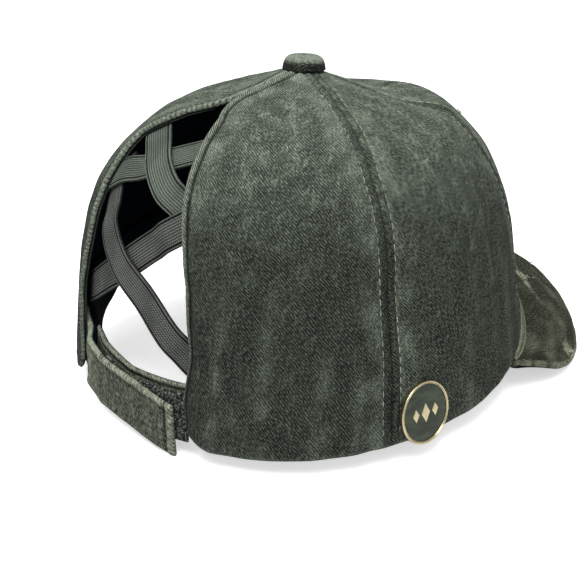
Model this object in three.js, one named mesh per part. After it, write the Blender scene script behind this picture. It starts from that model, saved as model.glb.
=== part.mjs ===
// A soft six-panel baseball cap with an open back for a ponytail: four elastic bands cross the
// opening, a hook-and-loop strap closes it below, and a round enamel pin sits by the right rear seam.
// Millimetres, +Z up. The brim points along -Y and the wearer's right is -X. The cap rests on a
// table on its brim and back strap; the origin is the middle of its footprint.
import * as THREE from 'three';

// Crown
const crownHalfWidth = 83.6;
const crownFrontReach = 104.6;
const crownBackReach = 88.6;
const crownHeight = 110.8;
const apexForward = -1;
const peakHeight = 6.2;
const peakSpread = 16.5;
const clothWall = 1.8;
const seamGap = 0.3;
const peakPower = 1.4;
const frontRimLift = 22;
const rimLiftStart = 0.08;
const rimLiftPower = 2.4;
const rimLiftFade = 1.5;
const leftArch = { height: 20.5, centre: 93, ahead: 20, behind: 29.5 };
const dipDepth = 4.8;
const dipCentre = 52;
const dipSpread = 30;
const dipStart = 0.3;
const ridgeHeight = 6.2;
const ridgeCentre = 58;
const ridgeSpread = 14;
const panelCornerRadius = 9;

// Rows of a panel crowd towards the crown's top and end at the hole under the button; columns
// of a back panel crowd towards the opening
const topHoleRadius = 5;
const topHolePower = 1.19;
const rowCrowding = 2.4;
const columnCrowding = 1.6;

// Cross-sections of the crown: rimPower squares the rim's outline, fullness and shoulder shape
// the side profile, and pull draws its middle in
const sections = {
  front: { rimPower: 2.1, fullness: 3.6, shoulder: 2.5, pull: -0.043 },
  back: { rimPower: 2.3, fullness: 3.8, shoulder: 2.4, pull: -0.015 },
  side: { fullness: 2.6, shoulder: 2.4, pull: -0.065 },
};

// Seams, in degrees from the front
const sideFrontSeam = 47;
const sideBackSeam = 109;

// Half angles of the ponytail opening, in degrees from the back, at shares of the crown's height
const opening = [
  { rise: 0, left: 20, right: 24.4 },
  { rise: 0.15, left: 22, right: 23 },
  { rise: 0.3, left: 23, right: 24.2 },
  { rise: 0.5, left: 21.5, right: 22.4 },
  { rise: 0.7, left: 23, right: 17 },
  { rise: 0.85, left: 23.5, right: 14 },
  { rise: 0.93, left: 13, right: 10 },
  { rise: 0.975, left: 0, right: 0 },
];

// Brim
const brimHalfWidth = 82;
const brimReach = 53;
const brimSideLine = 74;
const brimEndInset = 6;
const brimThickness = 3;
const brimEndAngle = 62;
const brimRise = 3.8;
const brimSlope = 22.8;
const brimArch = 43.5;
const brimArchPower = 1.6;
const brimNosePower = 1.75;
const brimFrontShare = 0.8;
const brimEndDrop = 7;
const brimPuff = 1.2;
const brimRootEase = 1.4;
const brimSeatGap = 0.6;

// Sweatband
const sweatbandHeight = 32;
const sweatbandThickness = 1.2;
const sweatbandEnd = { left: 33, right: 35 };
const sweatbandSag = { depth: 5.5, centre: 40, spread: 14 };

// Elastic bands: routes across the opening, turn in degrees from the back towards the wearer's
// right and rise as a share of the crown's height; over is 1 where a band lies on its neighbour
const bandWidth = 12;
const bandThickness = 1.2;
const bandInset = 0.9;
const bandClearance = 0.5;
const routeScale = 100;
const bands = [
  {
    name: 'elastic_upper_rising',
    route: [
      { turn: -30, rise: 0.675, over: 1 },
      { turn: -20, rise: 0.745, over: 1 },
      { turn: -10, rise: 0.793, over: 0 },
      { turn: 1, rise: 0.843, over: 0 },
      { turn: 11, rise: 0.88, over: 0 },
      { turn: 20, rise: 0.908, over: 0 },
    ],
  },
  {
    name: 'elastic_upper_falling',
    route: [
      { turn: -29, rise: 0.888, over: 1 },
      { turn: -21, rise: 0.876, over: 1 },
      { turn: -10, rise: 0.847, over: 1 },
      { turn: 0, rise: 0.792, over: 1 },
      { turn: 7, rise: 0.753, over: 1 },
      { turn: 13, rise: 0.727, over: 0 },
      { turn: 24, rise: 0.69, over: 0 },
    ],
  },
  {
    name: 'elastic_lower_rising',
    route: [
      { turn: -31, rise: 0.27, over: 0 },
      { turn: -20, rise: 0.345, over: 0 },
      { turn: -11, rise: 0.418, over: 0 },
      { turn: -3, rise: 0.485, over: 0 },
      { turn: 7, rise: 0.582, over: 0 },
      { turn: 13, rise: 0.633, over: 1 },
      { turn: 25, rise: 0.725, over: 1 },
    ],
  },
  {
    name: 'elastic_lower_falling',
    route: [
      { turn: -29, rise: 0.785, over: 0 },
      { turn: -19, rise: 0.655, over: 0 },
      { turn: -12, rise: 0.565, over: 1 },
      { turn: -3, rise: 0.48, over: 1 },
      { turn: 8, rise: 0.413, over: 1 },
      { turn: 16, rise: 0.33, over: 1 },
      { turn: 22, rise: 0.268, over: 0 },
      { turn: 27.5, rise: 0.233, over: 0 },
    ],
  },
];

// Closure straps: middle is the height of a strap's centre line above the rim, and tucked is 1
// where the strap lies behind the panel
const strapHeight = 18.4;
const outerStrapThickness = 2.6;
const innerStrapThickness = 1.8;
const loopPadThickness = 1.2;
const loopPadHeight = 17.5;
const loopPadDrop = 2.4;
const strapProud = 0.5;
const strapGap = 0.3;
const outerStrap = [
  { turn: -30, middle: 13.3, tucked: 1 },
  { turn: -21, middle: 12, tucked: 1 },
  { turn: -14, middle: 9.8, tucked: 0 },
  { turn: -6, middle: 7.5, tucked: 0 },
  { turn: 7, middle: 7, tucked: 0 },
  { turn: 20.5, middle: 3.6, tucked: 0 },
];
const innerStrap = [
  { turn: -16.5, middle: 14, tucked: 0 },
  { turn: -11, middle: 10.6, tucked: 0 },
  { turn: 2, middle: 8.3, tucked: 0 },
  { turn: 13, middle: 9.8, tucked: 0 },
  { turn: 23.8, middle: 11.2, tucked: 0 },
  { turn: 26.5, middle: 10.8, tucked: 1 },
  { turn: 31, middle: 10.3, tucked: 1 },
];
const loopPad = { start: -8, end: 23.6 };

// Top button
const buttonRadius = 8.2;
const buttonHeight = 4;
const buttonGap = 0.4;
const buttonFullness = { side: 0.32, top: 1.15 };

// Enamel pin
const pinTurn = -100.5;
const pinHeight = 9.4;
const pinRadius = 11.2;
const pinThickness = 2;
const pinLip = 0.9;
const pinFloor = 0.9;
const pinGap = 0.3;
const pinBevel = 0.3;
const enamelThickness = 0.6;

const degree = Math.PI / 180;
const washedCloth = { color: 0x3f4642, roughness: 0.95, metalness: 0 };
const wornCloth = { color: 0x565d56, roughness: 0.95, metalness: 0 };
const elasticCloth = { color: 0x7d8479, roughness: 0.85, metalness: 0 };
const darkLining = { color: 0x14161c, roughness: 0.95, metalness: 0 };
const loopCloth = { color: 0x23282a, roughness: 1, metalness: 0 };
const paleGold = { color: 0xc9bd93, roughness: 0.3, metalness: 1 };
const oliveEnamel = { color: 0x3a4636, roughness: 0.15, metalness: 0 };

const cap = new THREE.Group();

function smooth(share) {
  const t = THREE.MathUtils.clamp(share, 0, 1);
  return t * t * (3 - 2 * t);
}

// A column of a table read at any place between its rows
function between(table, key, place, column) {
  let row = 1;
  while (row < table.length - 1 && place > table[row][key]) row += 1;
  const [low, high] = [table[row - 1], table[row]];
  const share = THREE.MathUtils.clamp((place - low[key]) / (high[key] - low[key]), 0, 1);
  return THREE.MathUtils.lerp(low[column], high[column], share);
}

// Weights of the front, back and side sections at a plan angle
function weights(turn) {
  const c = Math.cos(turn);
  return { front: c > 0 ? c * c : 0, back: c < 0 ? c * c : 0, side: Math.sin(turn) ** 2 };
}

function blended(turn, column) {
  const w = weights(turn);
  return w.front * sections.front[column] + w.back * sections.back[column] + w.side * sections.side[column];
}

// The rim's outline in plan: a superellipse with its own reach in front and behind
function rimOutline(turn) {
  const [s, c] = [Math.sin(turn), Math.cos(turn)];
  const power = (c > 0 ? sections.front : sections.back).rimPower;
  const reach = c > 0 ? crownFrontReach : crownBackReach;
  const k = (Math.abs(s) ** power + Math.abs(c) ** power) ** (-1 / power);
  return new THREE.Vector2(crownHalfWidth * s * k, -reach * c * k);
}

// The rim climbs to the front, where the brim arches it, and the soft left side is drawn up in
// an arch of its own
function rimLift(turn) {
  const climb = Math.max(0, (Math.cos(turn) + rimLiftStart) / (1 + rimLiftStart));
  const aside = Math.atan2(Math.sin(turn), Math.cos(turn)) / degree - leftArch.centre;
  const spread = aside < 0 ? leftArch.ahead : leftArch.behind;
  return frontRimLift * climb ** rimLiftPower + leftArch.height * Math.exp(-((aside / spread) ** 2));
}

// The peak under the button, measured up from the crown's dome
function peak(radius) {
  return peakHeight * Math.exp(-((radius / peakSpread) ** peakPower));
}

// The crown's outer face at a plan angle and a share of its height
function crownFace(turn, rise) {
  const high = Math.max(rise, 0);
  const inward = (1 - high ** blended(turn, 'fullness')) ** (1 / blended(turn, 'shoulder'));
  const h = inward * (1 + blended(turn, 'pull') * 4 * high * (1 - high));
  const rim = rimOutline(turn);
  const radius = rim.length() * h;
  const front = THREE.MathUtils.clamp(Math.cos(turn) + dipStart, 0, 1);
  const dip = dipDepth * Math.exp(-(((radius - dipCentre) / dipSpread) ** 2));
  const ridge = ridgeHeight * Math.exp(-(((radius - ridgeCentre) / ridgeSpread) ** 2));
  const lift = rimLift(turn) * (1 - rise) ** rimLiftFade;
  const z = crownHeight * rise + lift + peak(radius) + front * (ridge - dip);
  return new THREE.Vector3(rim.x * h, rim.y * h - apexForward * (1 - h), z);
}

function crownNormal(turn, rise) {
  const [turnStep, riseStep] = [0.002, 0.02];
  const here = crownFace(turn, rise);
  const aside = crownFace(turn + turnStep, rise).sub(here);
  const above = crownFace(turn, rise + riseStep * (1 - Math.max(rise, 0))).sub(here);
  return aside.cross(above).normalize();
}

// A point inside the crown's outer face by a depth
function crownPoint(turn, rise, depth) {
  return crownFace(turn, rise).addScaledVector(crownNormal(turn, rise), -depth);
}

// The plan angle of a place given in degrees from the back towards the wearer's right
function fromBack(degrees) {
  return (-180 + degrees) * degree;
}

// A closed solid between two faces given over the same square of parameters
function sheet(name, outer, inner, columns, rows, finish) {
  const positions = [];
  const index = [];
  const across = columns + 1;
  const half = across * (rows + 1);
  for (const face of [outer, inner]) {
    for (let j = 0; j <= rows; j += 1) {
      for (let i = 0; i <= columns; i += 1) positions.push(...face(i / columns, j / rows).toArray());
    }
  }
  const quad = (a, b, c, d) => index.push(a, b, c, a, c, d);
  for (let j = 0; j < rows; j += 1) {
    for (let i = 0; i < columns; i += 1) {
      const k = j * across + i;
      quad(k, k + 1, k + 1 + across, k + across);
      quad(half + k, half + k + across, half + k + 1 + across, half + k + 1);
    }
    const [start, end] = [j * across, j * across + columns];
    quad(start, start + across, half + start + across, half + start);
    quad(end + across, end, half + end, half + end + across);
  }
  for (let i = 0; i < columns; i += 1) {
    const top = rows * across + i;
    quad(i + 1, i, half + i, half + i + 1);
    quad(top, top + 1, half + top + 1, half + top);
  }
  const geometry = new THREE.BufferGeometry();
  geometry.setAttribute('position', new THREE.Float32BufferAttribute(positions, 3));
  geometry.setIndex(index);
  return solid(name, outward(geometry), finish);
}

// Turns a closed geometry's faces to point out
function outward(geometry) {
  const p = geometry.attributes.position;
  const index = geometry.index;
  const corner = [new THREE.Vector3(), new THREE.Vector3(), new THREE.Vector3()];
  let volume = 0;
  for (let i = 0; i < index.count; i += 3) {
    corner.forEach((v, k) => v.fromBufferAttribute(p, index.getX(i + k)));
    volume += corner[0].dot(corner[1].clone().cross(corner[2]));
  }
  if (volume < 0) {
    for (let i = 0; i < index.count; i += 3) {
      const second = index.getX(i + 1);
      index.setX(i + 1, index.getX(i + 2));
      index.setX(i + 2, second);
    }
  }
  return geometry;
}

function solid(name, geometry, finish) {
  const mesh = new THREE.Mesh(geometry, new THREE.MeshStandardMaterial(finish));
  mesh.name = name;
  cap.add(mesh);
  return mesh;
}

// Half angle of the opening at a share of the crown's height
function openingHalf(rise, side) {
  return between(opening, 'rise', rise, side);
}

// The panel's lower corner beside the opening is rounded
function cornerRise(arc) {
  const inside = Math.max(0, panelCornerRadius - arc);
  return (panelCornerRadius - Math.sqrt(panelCornerRadius ** 2 - inside ** 2)) / crownHeight;
}

// A crown panel between two edges given as plan angles over the rise
function panel(name, leftEdge, rightEdge, bottom, crowd) {
  const columns = 10;
  const rows = 20;
  const reach = 1 - (topHoleRadius / crownHalfWidth) ** topHolePower;
  const place = (u, v) => {
    const across = crowd(u);
    const climb = 1 - (1 - v * reach) ** rowCrowding;
    const low = bottom(across);
    const rise = low + (1 - low) * climb;
    const radius = crownFace(leftEdge(rise), rise).setZ(0).length();
    const gap = seamGap / 2 / Math.max(radius, topHoleRadius);
    return [THREE.MathUtils.lerp(leftEdge(rise) + gap, rightEdge(rise) - gap, across), rise];
  };
  const outer = (u, v) => crownFace(...place(u, v));
  const inner = (u, v) => crownPoint(...place(u, v), clothWall);
  return sheet(name, outer, inner, columns, rows, washedCloth);
}

function crownPanels() {
  const flat = () => 0;
  const even = (u) => u;
  const at = (degrees) => () => degrees * degree;
  panel('front_panel_right', at(-sideFrontSeam), at(0), flat, even);
  panel('front_panel_left', at(0), at(sideFrontSeam), flat, even);
  panel('side_panel_right', at(-sideBackSeam), at(-sideFrontSeam), flat, even);
  panel('side_panel_left', at(sideFrontSeam), at(sideBackSeam), flat, even);
  const rimArc = (side) => (180 - sideBackSeam - openingHalf(0, side)) * degree * crownBackReach;
  panel(
    'back_panel_right',
    (rise) => fromBack(openingHalf(rise, 'right')),
    at(-sideBackSeam),
    (u) => cornerRise(u * rimArc('right')),
    (u) => u ** columnCrowding,
  );
  panel(
    'back_panel_left',
    at(sideBackSeam),
    (rise) => Math.PI - openingHalf(rise, 'left') * degree,
    (u) => cornerRise((1 - u) * rimArc('left')),
    (u) => 1 - (1 - u) ** columnCrowding,
  );
}

// The brim's outer edge: a blunt nose between the two side lines, then back to the rim.
// share runs from -1 at the wearer's right end to 1 at the left end.
function brimEdge(share) {
  const size = Math.abs(share);
  const a = Math.min(1, size / brimFrontShare) * Math.PI / 2;
  const k = (Math.sin(a) ** brimNosePower + Math.cos(a) ** brimNosePower) ** (-1 / brimNosePower);
  const nose = crownFrontReach + brimReach - brimSideLine;
  const back = Math.max(0, (size - brimFrontShare) / (1 - brimFrontShare));
  const end = rimOutline(brimEndAngle * degree);
  const x = Math.sign(share) * (brimHalfWidth * Math.sin(a) * k - brimEndInset * back ** 2);
  const y = THREE.MathUtils.lerp(-brimSideLine - nose * Math.cos(a) * k, end.y, back);
  const arch = brimArch * (Math.abs(x) / crownHalfWidth) ** brimArchPower;
  const fall = Math.tan(brimSlope * degree) * (-y - crownFrontReach);
  return new THREE.Vector3(x, y, frontRimLift + brimRise - arch - fall - brimEndDrop * back ** 2);
}

// The brim's upper face from under the crown's edge to its outer edge
function brimFace(u, v) {
  const share = 2 * u - 1;
  const turn = share * brimEndAngle * degree;
  const root = crownPoint(turn, 0, clothWall);
  const edge = brimEdge(share);
  const puff = brimPuff * Math.sin(Math.PI * v) ** 2 * (1 - share ** 2);
  const z = THREE.MathUtils.lerp(root.z - brimSeatGap, edge.z, v ** brimRootEase) + puff;
  return root.lerp(edge, v).setZ(z);
}

function brim() {
  const step = 0.001;
  const under = (u, v) => {
    const here = brimFace(u, v);
    const aside = brimFace(u + (u < 0.5 ? step : -step), v).sub(here).multiplyScalar(u < 0.5 ? 1 : -1);
    const ahead = brimFace(u, v + (v < 0.5 ? step : -step)).sub(here).multiplyScalar(v < 0.5 ? 1 : -1);
    const down = aside.cross(ahead).normalize();
    return here.addScaledVector(down, down.z > 0 ? -brimThickness : brimThickness);
  };
  sheet('brim', brimFace, under, 30, 7, wornCloth);
}

// The sweatband hangs inside the rim and sags inwards beside the opening's left edge
function sweatband() {
  const start = sweatbandEnd.right;
  const end = 360 - sweatbandEnd.left;
  const face = (extra) => (u, v) => {
    const turn = THREE.MathUtils.lerp(start, end, u);
    const fromLeft = (360 - turn - sweatbandSag.centre) / sweatbandSag.spread;
    const sag = sweatbandSag.depth * Math.exp(-(fromLeft ** 2)) * (1 - v);
    const depth = clothWall + bandClearance + sag + extra;
    return crownPoint(fromBack(turn), v * sweatbandHeight / crownHeight, depth);
  };
  sheet('sweatband', face(0), face(sweatbandThickness), 44, 3, darkLining);
}

// A band's centre line as a smooth curve through its table
function bandRoute(route) {
  return new THREE.CatmullRomCurve3(
    route.map((row) => new THREE.Vector3(row.turn, row.rise * routeScale, row.over)),
    false,
    'centripetal',
  );
}

// Places a band's edges at half its width to either side along the crown's face
function elasticBand({ name, route }) {
  const curve = bandRoute(route);
  const nudge = 0.001;
  const spot = (t) => {
    const p = curve.getPoint(t);
    const over = THREE.MathUtils.clamp(p.z, 0, 1);
    return { turn: fromBack(p.x), rise: p.y / routeScale, over };
  };
  const face = (extra) => (u, v) => {
    const here = spot(u);
    const step = u < 0.5 ? 0.01 : -0.01;
    const ahead = spot(u + step);
    const base = crownFace(here.turn, here.rise);
    const along = crownFace(ahead.turn, ahead.rise).sub(base).multiplyScalar(Math.sign(step));
    const normal = crownNormal(here.turn, here.rise);
    const side = normal.clone().cross(along).normalize().multiplyScalar(bandWidth * (v - 0.5));
    const du = crownFace(here.turn + nudge, here.rise).sub(base).divideScalar(nudge);
    const dv = crownFace(here.turn, here.rise + nudge).sub(base).divideScalar(nudge);
    const [uu, uv, vv] = [du.dot(du), du.dot(dv), dv.dot(dv)];
    const area = uu * vv - uv * uv;
    const turn = here.turn + (side.dot(du) * vv - side.dot(dv) * uv) / area;
    const rise = here.rise + (side.dot(dv) * uu - side.dot(du) * uv) / area;
    const under = (1 - smooth(here.over)) * (bandThickness + bandClearance);
    return crownPoint(turn, rise, clothWall + bandInset + under + extra);
  };
  sheet(name, face(0), face(bandThickness), 22, 2, elasticCloth);
}

// A strap round the back of the rim: depth(tucked) gives its outer face's depth
function strap(name, table, range, height, thickness, depth, finish) {
  const face = (extra) => (u, v) => {
    const turn = THREE.MathUtils.lerp(range[0], range[1], u);
    const middle = between(table, 'turn', turn, 'middle');
    const tucked = smooth(between(table, 'turn', turn, 'tucked'));
    const rise = (middle + height * (v - 0.5)) / crownHeight;
    return crownPoint(fromBack(turn), rise, depth(tucked) + extra);
  };
  sheet(name, face(0), face(thickness), 20, 2, finish);
}

function closure() {
  const tuckedDepth = clothWall + bandClearance;
  const padDepth = outerStrapThickness - strapProud + strapGap;
  const innerDepth = padDepth + loopPadThickness + strapGap;
  const ends = (table) => [table[0].turn, table[table.length - 1].turn];
  const outerDepth = (tucked) => THREE.MathUtils.lerp(-strapProud, tuckedDepth, tucked);
  const innerTuck = (tucked) => THREE.MathUtils.lerp(innerDepth, tuckedDepth, tucked);
  const outerEnds = ends(outerStrap);
  const innerEnds = ends(innerStrap);
  const padEnds = [loopPad.start, loopPad.end];
  strap('outer_strap', outerStrap, outerEnds, strapHeight, outerStrapThickness, outerDepth, wornCloth);
  strap('inner_strap', innerStrap, innerEnds, strapHeight, innerStrapThickness, innerTuck, washedCloth);
  const padRoute = innerStrap.map((row) => ({ ...row, middle: row.middle - loopPadDrop }));
  strap('loop_pad', padRoute, padEnds, loopPadHeight, loopPadThickness, () => padDepth, loopCloth);
}

// The covered button's underside follows the crown's peak
function topButton() {
  const under = (radius) => peak(radius) - peakHeight + buttonGap;
  const profile = [];
  for (const share of [0, 0.35, 0.7, 1]) {
    profile.push(new THREE.Vector2(buttonRadius * share, under(buttonRadius * share)));
  }
  const [low, high] = [under(buttonRadius), buttonHeight];
  for (const angle of [15, 35, 55, 75, 90]) {
    const radius = buttonRadius * Math.cos(angle * degree) ** buttonFullness.side;
    const height = low + (high - low) * Math.sin(angle * degree) ** buttonFullness.top;
    profile.push(new THREE.Vector2(radius, height));
  }
  profile[profile.length - 1].x = 0;
  const button = solid('top_button', new THREE.LatheGeometry(profile, 20), wornCloth);
  button.position.set(0, -apexForward, crownHeight + peakHeight);
  button.rotation.x = Math.PI / 2;
}

// The pin: a metal dish with a raised lip, and the enamel disc set in it
function enamelPin() {
  const pin = new THREE.Group();
  const turn = pinTurn * degree;
  const rise = (pinHeight - rimLift(turn)) / crownHeight;
  const normal = crownNormal(turn, rise);
  pin.position.copy(crownFace(turn, rise)).addScaledVector(normal, pinGap);
  pin.quaternion.setFromUnitVectors(new THREE.Vector3(0, 1, 0), normal);
  const lipInner = pinRadius - pinLip;
  const dish = [
    [0, 0],
    [pinRadius - pinBevel, 0],
    [pinRadius, pinBevel],
    [pinRadius, pinThickness - pinBevel],
    [pinRadius - pinLip / 2, pinThickness],
    [lipInner, pinThickness - pinBevel],
    [lipInner, pinFloor],
    [0, pinFloor],
  ];
  const enamelLow = pinFloor + pinGap;
  const enamelRadius = lipInner - pinGap;
  const disc = [
    [0, enamelLow],
    [enamelRadius, enamelLow],
    [enamelRadius, enamelLow + enamelThickness],
    [0, enamelLow + enamelThickness],
  ];
  const lathe = (points) => new THREE.LatheGeometry(points.map(([x, y]) => new THREE.Vector2(x, y)), 32);
  pin.add(solid('pin_rim', lathe(dish), paleGold));
  pin.add(solid('pin_enamel', lathe(disc), oliveEnamel));
  cap.add(pin);
}

// The pitch at which the brim and the back of the rim reach the table together
function restPitch(points) {
  const lowest = (pitch, ahead) => {
    let low = Infinity;
    for (const p of points) {
      if (p.y < 0 === ahead) low = Math.min(low, p.z * Math.cos(pitch) + p.y * Math.sin(pitch));
    }
    return low;
  };
  let [flat, steep] = [-0.3, 0.3];
  for (let i = 0; i < 40; i += 1) {
    const middle = (flat + steep) / 2;
    if (lowest(middle, true) < lowest(middle, false)) steep = middle;
    else flat = middle;
  }
  return (flat + steep) / 2;
}

function allPoints() {
  const points = [];
  cap.updateMatrixWorld(true);
  cap.traverse((node) => {
    if (!node.isMesh) return;
    const p = node.geometry.attributes.position;
    for (let i = 0; i < p.count; i += 1) {
      points.push(new THREE.Vector3().fromBufferAttribute(p, i).applyMatrix4(node.matrixWorld));
    }
  });
  return points;
}

crownPanels();
brim();
sweatband();
bands.forEach(elasticBand);
closure();
topButton();
enamelPin();

cap.rotation.x = restPitch(allPoints());
const box = new THREE.Box3().setFromPoints(allPoints());
const middle = box.getCenter(new THREE.Vector3());
cap.position.set(-middle.x, -middle.y, -box.min.z);

const model = new THREE.Group();
model.add(cap);

export default model;
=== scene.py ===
"""Ponytail baseball cap: washed twill panels, crossed elastic bands, a hook-and-loop closure, a
curved brim and a round enamel pin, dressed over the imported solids.

Laid out as an add-on: sizes and colours are properties, each piece or group of pieces is an
operator, and main() makes the whole cap. Shapes are worked out in millimetres in the crown's own
frame (Z up from the rim, the brim towards -Y) and put into the row frame by to_row().
"""
import math

import bpy
import numpy as np
from bpy.props import FloatProperty, FloatVectorProperty, IntProperty, PointerProperty
from bpy.types import Operator, Panel, PropertyGroup
from mathutils import Matrix


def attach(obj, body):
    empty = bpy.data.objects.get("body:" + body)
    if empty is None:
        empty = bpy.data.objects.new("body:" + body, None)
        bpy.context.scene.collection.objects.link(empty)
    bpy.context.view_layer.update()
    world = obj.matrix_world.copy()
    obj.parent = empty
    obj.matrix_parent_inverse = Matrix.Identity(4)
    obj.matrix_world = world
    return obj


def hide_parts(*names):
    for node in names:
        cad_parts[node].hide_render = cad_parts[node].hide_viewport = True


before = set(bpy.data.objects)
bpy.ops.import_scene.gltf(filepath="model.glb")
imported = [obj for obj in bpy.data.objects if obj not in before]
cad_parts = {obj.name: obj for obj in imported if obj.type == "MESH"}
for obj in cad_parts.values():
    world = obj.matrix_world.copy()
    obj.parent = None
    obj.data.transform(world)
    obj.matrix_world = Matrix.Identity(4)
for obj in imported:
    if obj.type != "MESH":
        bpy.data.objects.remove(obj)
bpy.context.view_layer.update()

bl_info = {
    "name": "Ponytail baseball cap",
    "version": (1, 0, 0),
    "blender": (4, 5, 0),
    "location": "View3D > Sidebar > Cap",
    "description": "Makes a washed cotton baseball cap with an open back and crossed bands",
    "category": "Add Mesh",
}

MM = 0.001
DEGREE = math.pi / 180

# The crown, as in the part's source
HALF_WIDTH = 83.6
FRONT_REACH = 104.6
BACK_REACH = 88.6
CROWN_HEIGHT = 110.8
APEX_BACK = 1.0
PEAK_HEIGHT = 6.2
PEAK_SPREAD = 16.5
PEAK_POWER = 1.4
RIM_LIFT = 22.0
LEFT_ARCH = {"height": 20.5, "middle": 93, "ahead": 20, "behind": 29.5}
CLOTH_WALL = 1.8
FRONT_SHAPE = {"rim_power": 2.1, "fullness": 3.6, "shoulder": 2.5, "pull": -0.043}
BACK_SHAPE = {"rim_power": 2.3, "fullness": 3.8, "shoulder": 2.4, "pull": -0.015}
SIDE_SHAPE = {"fullness": 2.6, "shoulder": 2.4, "pull": -0.065}
SIDE_FRONT_SEAM = 47
SIDE_BACK_SEAM = 109
CORNER_RADIUS = 9.0
TOP_HOLE = 5.0

# The opening: half angles in degrees from the back, at shares of the crown's height
OPENING_RISE = (0, 0.15, 0.3, 0.5, 0.7, 0.85, 0.93, 0.975)
OPENING_HALF = {
    "left": (20, 22, 23, 21.5, 23, 23.5, 13, 0),
    "right": (24.4, 23, 24.2, 22.4, 17, 14, 10, 0),
}

# How the cap lies: its nose-up pitch and its place in the row frame
REST_PITCH = -1.885514 * DEGREE
REST_PLACE = (0.9594, 34.2056, 8.4050)

# Bands: turn from the back towards the wearer's right in degrees, share of the height, and 1
# where a band lies over its neighbour
BAND_THICKNESS = 1.2
BAND_DEPTH = 2.7
BAND_CLEARANCE = 0.5
BANDS = {
    "elastic_upper_rising": (
        (-30, 0.675, 1), (-20, 0.745, 1), (-10, 0.793, 0), (1, 0.843, 0), (11, 0.88, 0), (20, 0.908, 0),
    ),
    "elastic_upper_falling": (
        (-29, 0.888, 1), (-21, 0.876, 1), (-10, 0.847, 1), (0, 0.792, 1), (7, 0.753, 1),
        (13, 0.727, 0), (24, 0.69, 0),
    ),
    "elastic_lower_rising": (
        (-31, 0.27, 0), (-20, 0.345, 0), (-11, 0.418, 0), (-3, 0.485, 0), (7, 0.582, 0),
        (13, 0.633, 1), (25, 0.725, 1),
    ),
    "elastic_lower_falling": (
        (-29, 0.785, 0), (-19, 0.655, 0), (-12, 0.565, 1), (-3, 0.48, 1), (8, 0.413, 1),
        (16, 0.33, 1), (22, 0.268, 0), (27.5, 0.233, 0),
    ),
}

# Straps: turn, height of the middle over the rim, and 1 where tucked behind the panel
OUTER_STRAP = ((-30, 13.3, 1), (-21, 12, 1), (-14, 9.8, 0), (-6, 7.5, 0), (7, 7, 0), (20.5, 3.6, 0))
INNER_STRAP = (
    (-16.5, 14, 0), (-11, 10.6, 0), (2, 8.3, 0), (13, 9.8, 0), (23.8, 11.2, 0), (26.5, 10.8, 1),
    (31, 10.3, 1),
)
STRAP_HEIGHT = 18.4
LOOP_PAD_HEIGHT = 17.5
LOOP_PAD_DROP = 2.4

# Folds of the cloth: turn, height of the middle, half width, half height, depth
FOLDS = (
    (-119, 18, 3.4, 24, 0.75), (-114.5, 12, 2.6, 22, -0.6), (-104, 20, 3.0, 20, 0.5),
    (-97, 30, 4.2, 18, -0.5), (-128, 8, 4.6, 26, 0.4), (-150.5, 26, 2.6, 30, 0.6),
    (-146, 20, 3.0, 28, -0.55), (-140, 30, 4.0, 26, 0.4), (-82, 8, 5.0, 22, 0.5),
    (-70, 20, 5.0, 26, -0.45), (-58, 26, 4.0, 30, 0.5), (119, 16, 3.6, 26, 0.7),
    (-75, 56, 2.6, 26, 0.45), (-66, 48, 2.2, 34, 0.5), (-62, 42, 2.4, 34, -0.5), (-54, 40, 2.0, 36, 0.5),
    (113.5, 20, 3.0, 22, -0.6), (101, 14, 4.2, 24, 0.5), (150, 24, 3.0, 30, 0.6),
    (144, 16, 4.0, 26, -0.5), (80, 14, 5.0, 24, 0.5), (64, 24, 5.0, 28, -0.5),
    (30, 60, 7.0, 16, -0.5), (-30, 62, 7.0, 16, -0.55), (12, 84, 9.0, 8, 0.6), (-14, 82, 9.0, 8, 0.5),
)


def colour(name, text, red, green, blue):
    """A colour property given in the display's own values from 0 to 1."""
    linear = [((v + 0.055) / 1.055) ** 2.4 if v > 0.04 else v / 12.92 for v in (red, green, blue)]
    return FloatVectorProperty(
        name=name, description=text, subtype="COLOR", size=3, min=0, max=1, default=linear,
    )


def length(name, text, millimetres):
    """A length property given in millimetres."""
    return FloatProperty(name=name, description=text, unit="LENGTH", default=millimetres * MM)


class CapSizes(PropertyGroup):
    """Sizes that can be changed without moving the cap off its solids."""

    band_width: length("Band width", "Width of the elastic bands", 12.0)
    band_ribs: IntProperty(name="Band ribs", description="Ribs across a band", default=9, min=3, max=16)
    rib_height: length("Rib height", "How far a band's ribs stand out", 0.2)
    stitch_length: length("Stitch length", "Length of one topstitch", 2.7)
    stitch_pitch: length("Stitch pitch", "Distance from one stitch to the next", 3.5)
    seam_margin: length("Seam margin", "From a seam to the row of stitches beside it", 3.3)
    hem_width: length("Hem width", "Width of the rolled hem round the opening", 2.9)
    brim_row_spacing: length("Brim row spacing", "Between the brim's curved rows of stitches", 6.2)
    twill_spacing: length("Twill spacing", "Between the diagonal ridges of the twill", 0.88)
    pin_radius: length("Pin radius", "Radius of the enamel pin", 11.2)


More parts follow.
